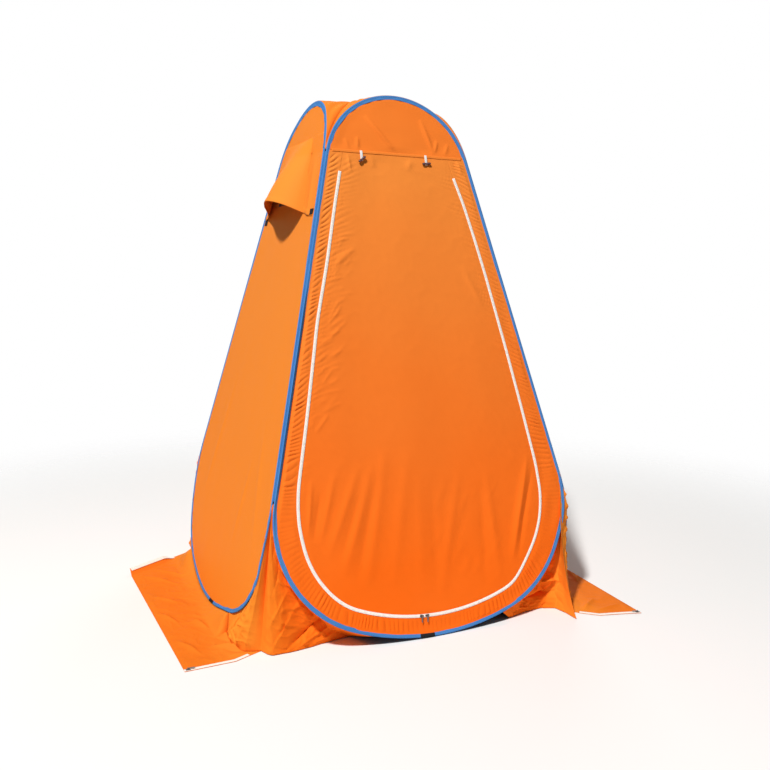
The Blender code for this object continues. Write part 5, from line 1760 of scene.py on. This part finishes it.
for wall, low_u in (("back", 0.0), ("right", 0.5)):
    def half_u(u):
        return np.clip(low_u + u / 2, 0.0, low_u + 0.4999)

    mesh = cloth_grid(
        48, 90, lambda u, v: gusset_place("back_right", half_u(u), v),
        lambda u, v: gusset_cut("back_right", half_u(u), v),
    )
    piece = sew(
        "gusset_cloth_back_right_" + wall, faced(mesh, Vector((1.0, 1.0, 0.3))), "corner_cloth",
        wall + "_wall", ["gusset_back_right"], [wall + "_binding"],
    )
    wall + "_wall_fold"
    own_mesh(piece)
print("gussets made for", sorted(FEET))

# %% [markdown]
# A rolled seam joins the hoops side to side along each corner, above the gussets. The fourth one
# is where the folding model opens, so it rides with the right wall.

# %% Corner seams
APEX = Vector((0.0, 0.0, HOOP_LIFT + HOOP_SPACING / 2 / math.tan(WALL_LEAN)))
HINGE_OFFSET = 0.0036
SEAM_RADIUS = 0.00172
SEAM_END_GAP = 0.007


def corner_seam(corner, body):
    half = HOOP_SPACING / 2
    side_x, side_y, _ = corner_way(corner)
    up = Vector((-side_x * half, -side_y * half, APEX.z - HOOP_LIFT)).normalized()
    inward = HINGE_OFFSET / math.cos(WALL_LEAN)
    foot = Vector((side_x * (half - inward), side_y * (half - inward), HOOP_LIFT)) + TENT_SHIFT
    low = SHOULDER_CENTRE[1] + SHOULDER_RADIUS * math.sin(SIDE_TILT) + SEAM_END_GAP
    high = SEAM_UP - SEAM_END_GAP
    stretch = 1.0 / math.cos(SIDE_TILT)
    side_one = up.orthogonal().normalized()
    side_two = up.cross(side_one)

    def flat(u, v):
        return np.column_stack((v * math.tau * SEAM_RADIUS, (low + (high - low) * u) * stretch))

    def place(u, v):
        run = (low + (high - low) * u) * stretch
        radius = SEAM_RADIUS * (1.0 + 0.06 * ripple(run / 0.02, v * 2.0, 191.0))
        angle = v * math.tau
        around = np.outer(np.cos(angle), np.array(side_one)) + np.outer(np.sin(angle), np.array(side_two))
        return np.array(foot) + np.outer(run, np.array(up)) + around * radius[:, None]

    mesh = closed(cloth_grid(420, 12, place, flat, loop=True))
    piece = finish_piece("seam_" + corner, mesh, SLOTS["blue_binding"], smooth=50.0)
    settle(piece, body, "blue_binding", "corner_seam_" + corner)


SEAM_BODIES = {
    "front_left": "front_wall", "front_right": "front_wall",
    "back_left": "left_wall", "back_right": "right_wall",
}
for corner, body in SEAM_BODIES.items():
    corner_seam(corner, body)
print("corner seams", sorted(SEAM_BODIES))

# %% [markdown]
# On the left and on the right one cloth lies on the ground. It is sewn to the underside of the
# hoop, drops to the ground and runs on as a flap, which can be turned up along a line just outside
# the hoop; here it stays where it is made. Creases run from the corner's foot like a star, and a
# few light ones cross the flap from packing. They are written in metres from the middle of the tent.

# %% Edges and creases of the ground cloths
FRONT_EDGE = {
    "left": ((-0.654, -0.580), (-0.706, -0.603), (-0.760, -0.6053), (-0.872, -0.610)),
    "right": ((0.568, -0.722), (0.625, -0.770), (0.706, -0.790), (0.785, -0.812)),
}
OUTER_REAR = {"left": (-0.934, 0.332), "right": (0.830, 0.380)}
FRONT_START = {"left": FEET["front_left"], "right": (0.545, -0.690)}
REAR_RISE = 0.033
REAR_LIFT = {"left": 0.024, "right": 0.0}
REAR_FOOT = {"left": FEET["back_left"], "right": (0.600, 0.500)}
GROUND_CREASES = {
    "left": [
        ((-0.615, -0.55), (-0.7, -0.38), 0.012, 0.016), ((-0.618, -0.56), (-0.76, -0.47), 0.011, 0.014),
        ((-0.62, -0.565), (-0.72, -0.56), 0.009, 0.01), ((-0.612, -0.54), (-0.655, -0.36), 0.011, 0.016),
        ((-0.63, -0.54), (-0.735, -0.41), 0.01, -0.008), ((-0.645, -0.56), (-0.73, -0.51), 0.009, -0.007),
        ((-0.9, 0.28), (-0.76, 0.12), 0.008, 0.008), ((-0.885, 0.03), (-0.8, -0.06), 0.009, 0.008),
        ((-0.89, -0.13), (-0.83, -0.24), 0.008, 0.008), ((-0.78, -0.23), (-0.74, -0.33), 0.009, 0.009),
        ((-0.84, 0.33), (-0.72, 0.2), 0.01, 0.007), ((-0.86, -0.38), (-0.8, -0.52), 0.009, 0.007),
        ((-0.9, 0.15), (-0.73, -0.1), 0.012, -0.004),
    ],
    "right": [
        ((0.56, -0.735), (0.7, -0.64), 0.01, 0.01), ((0.59, -0.74), (0.76, -0.72), 0.009, 0.007),
        ((0.74, -0.5), (0.8, -0.3), 0.01, 0.007), ((0.72, 0.05), (0.8, 0.2), 0.01, 0.007),
        ((0.81, -0.15), (0.73, -0.25), 0.009, 0.006),
    ],
}

print("ground creases", {side: len(folds) for side, folds in GROUND_CREASES.items()})

# %% [markdown]
# The ground cloth is a patch between its four edges. Its inner edge hangs from the hoop and drops
# to the ground within the first third of its width, and its creases only rise, since the ground is
# under them. The left cloth's rear edge is lifted a little off the ground.

# %% Shape of the ground cloths
def ground_lines(side):
    """The four edges: front and rear from the foot outwards, inner and outer from the front back."""
    sign = 1.0 if side == "right" else -1.0
    front = np.vstack((on_floor([FRONT_START[side]]), on_floor(FRONT_EDGE[side])))
    rear = on_floor([REAR_FOOT[side], OUTER_REAR[side]])
    reach = HEM_METRES[side]
    spots = HEM_SPOTS.get(("front_" + side, side), ())
    tucked = [on_floor(spots[::-1])] if spots else []
    inner = np.vstack([front[:1]] + tucked + [hoop_edge(side, -sign * reach, sign * reach), rear[:1]])
    return front, rear, inner, np.vstack((front[-1:], rear[-1:]))


def ground_cloth(side):
    front, rear, inner, outer = ground_lines(side)
    long_side = lengths(outer)[-1]

    def flat(u, v):
        return patch(front, outer, rear, inner, u, v)[:, :2] - np.array(TENT_SHIFT)[:2]

    def place(u, v):
        points = patch(front, outer, rear, inner, u, v)
        cut = flat(u, v)
        hung = along(inner, v)[:, 2] - GUSSET_FLOOR
        height = 0.0012 + 0.0030 * ripple(cut[:, 0] / 0.12, cut[:, 1] / 0.20, 201.0)
        height += crumple(cut, 0.07, 0.0022, 205.0, 0.6, 1.5)
        height += 1.3 * raised(cut, GROUND_CREASES[side], 1.1)
        edge = smooth_step(1 - u, 0.0, 0.10) * smooth_step(np.minimum(v, 1 - v), 0.018, 0.060)
        edge *= smooth_step(u, 0.0, 0.05)
        fall = hung * (1.0 - smooth_step(u, 0.0, 0.30))
        points[:, 2] = CLOTH / 2 + 0.0001 + fall + np.clip(height, 0.0, None) * edge
        risen = np.clip(1.0 - (1.0 - v) * long_side / REAR_RISE, 0.0, 1.0)
        points[:, 2] += REAR_LIFT[side] * risen * smooth_step(u, 0.30, 0.50)
        return points

    sew(
        side + "_ground_cloth", faced(cloth_grid(80, 300, place, flat), Vector((0, 0, 1))),
        "ground_cloth", lambda piece: bend_at_fold(piece, side), [side + "_skirt", side + "_flap"],
        ["floor"], "ground_cloth",
    )


def bend_at_fold(piece, side):
    """Fix a piece in place; it doesn't bend along the line on which the flap turns."""
    sign = 1.0 if side == "right" else -1.0
    side + "_wall"
    side + "_flap"
    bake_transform(piece)


# %% [markdown]
# The zip tapes on the front and rear edges lie on the ground cloth and are fixed in place the same
# way. A point of a tape is found from the edge's own direction, turned a quarter round.

# %% Ground cloths and their tapes
TAPE_START, TAPE_WIDTH = 0.001, 0.013


def edge_tape(side, node, line, inside, lift=0.0):
    """Zip tape on an edge of the ground cloth, which runs from the foot outwards."""
    length = lengths(line)[-1]

    def flat(u, v):
        return np.column_stack((u * length, v * TAPE_WIDTH))

    def place(u, v):
        spots = along(line, u)
        run = along(line, np.clip(u + 0.01, 0.0, 1.0)) - along(line, np.clip(u - 0.01, 0.0, 1.0))
        run /= np.linalg.norm(run, axis=1)[:, None]
        beside = np.column_stack((-run[:, 1], run[:, 0], run[:, 2])) * inside
        spots = spots + beside * (TAPE_START + TAPE_WIDTH * v)[:, None]
        spots[:, 2] = CLOTH + SEW_GAP + ZIP_THICK / 2 + 0.0003 * np.abs(ripple(u * 9.0, v, 221.0))
        if lift:
            rise = lift * (1.0 - (TAPE_START + TAPE_WIDTH * v) / REAR_RISE) + 0.0006
            spots[:, 2] += rise * smooth_step(0.3 + 0.7 * u, 0.30, 0.50)
        return spots

    sew(
        node.replace("_zip_", "_tape_"), faced(cloth_grid(90, 6, place, flat), Vector((0, 0, 1))),
        "zip_tape", lambda piece: bend_at_fold(piece, side), [node],
        [side + "_ground_cloth"], "zip_tape", ZIP_THICK,
    )


for side in ("left", "right"):
    ground_cloth(side)
    front, rear, inner, outer = ground_lines(side)
    edge_tape(side, side + "_flap_zip_front", front[1:], 1.0 if side == "right" else -1.0)
    if side == "left":
        inner_end = rear[:1] + (rear[1:] - rear[:1]) * 0.30
        edge_tape(side, "left_flap_zip_rear", np.vstack((inner_end, rear[1:])), 1.0, REAR_LIFT[side])

# %% [markdown]
# The wires, ferrules, sliders and pulls stay as the CAD model has them. They only get finishes:
# bright drawn steel, and dark die-cast metal, a little worn.

# %% Finishes on the CAD parts
dark = make_finish("zip_slider")
dark.shade(
    Base_Color=mixed(dark, patches(dark, 0.003), colour(0.10, 0.095, 0.095), colour(0.22, 0.21, 0.20)),
    Metallic=0.85, Roughness=patches(dark, 0.002) * 0.25 + 0.25,
)
for name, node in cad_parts.items():
    if node.hide_render:
        continue
    finish = steel if "wire" in name or "ferrule" in name else dark
    node.data.materials.clear()
    node.data.materials.append(finish.holder)
shown = [name for name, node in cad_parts.items() if not node.hide_render]
print("CAD parts shown:", shown)
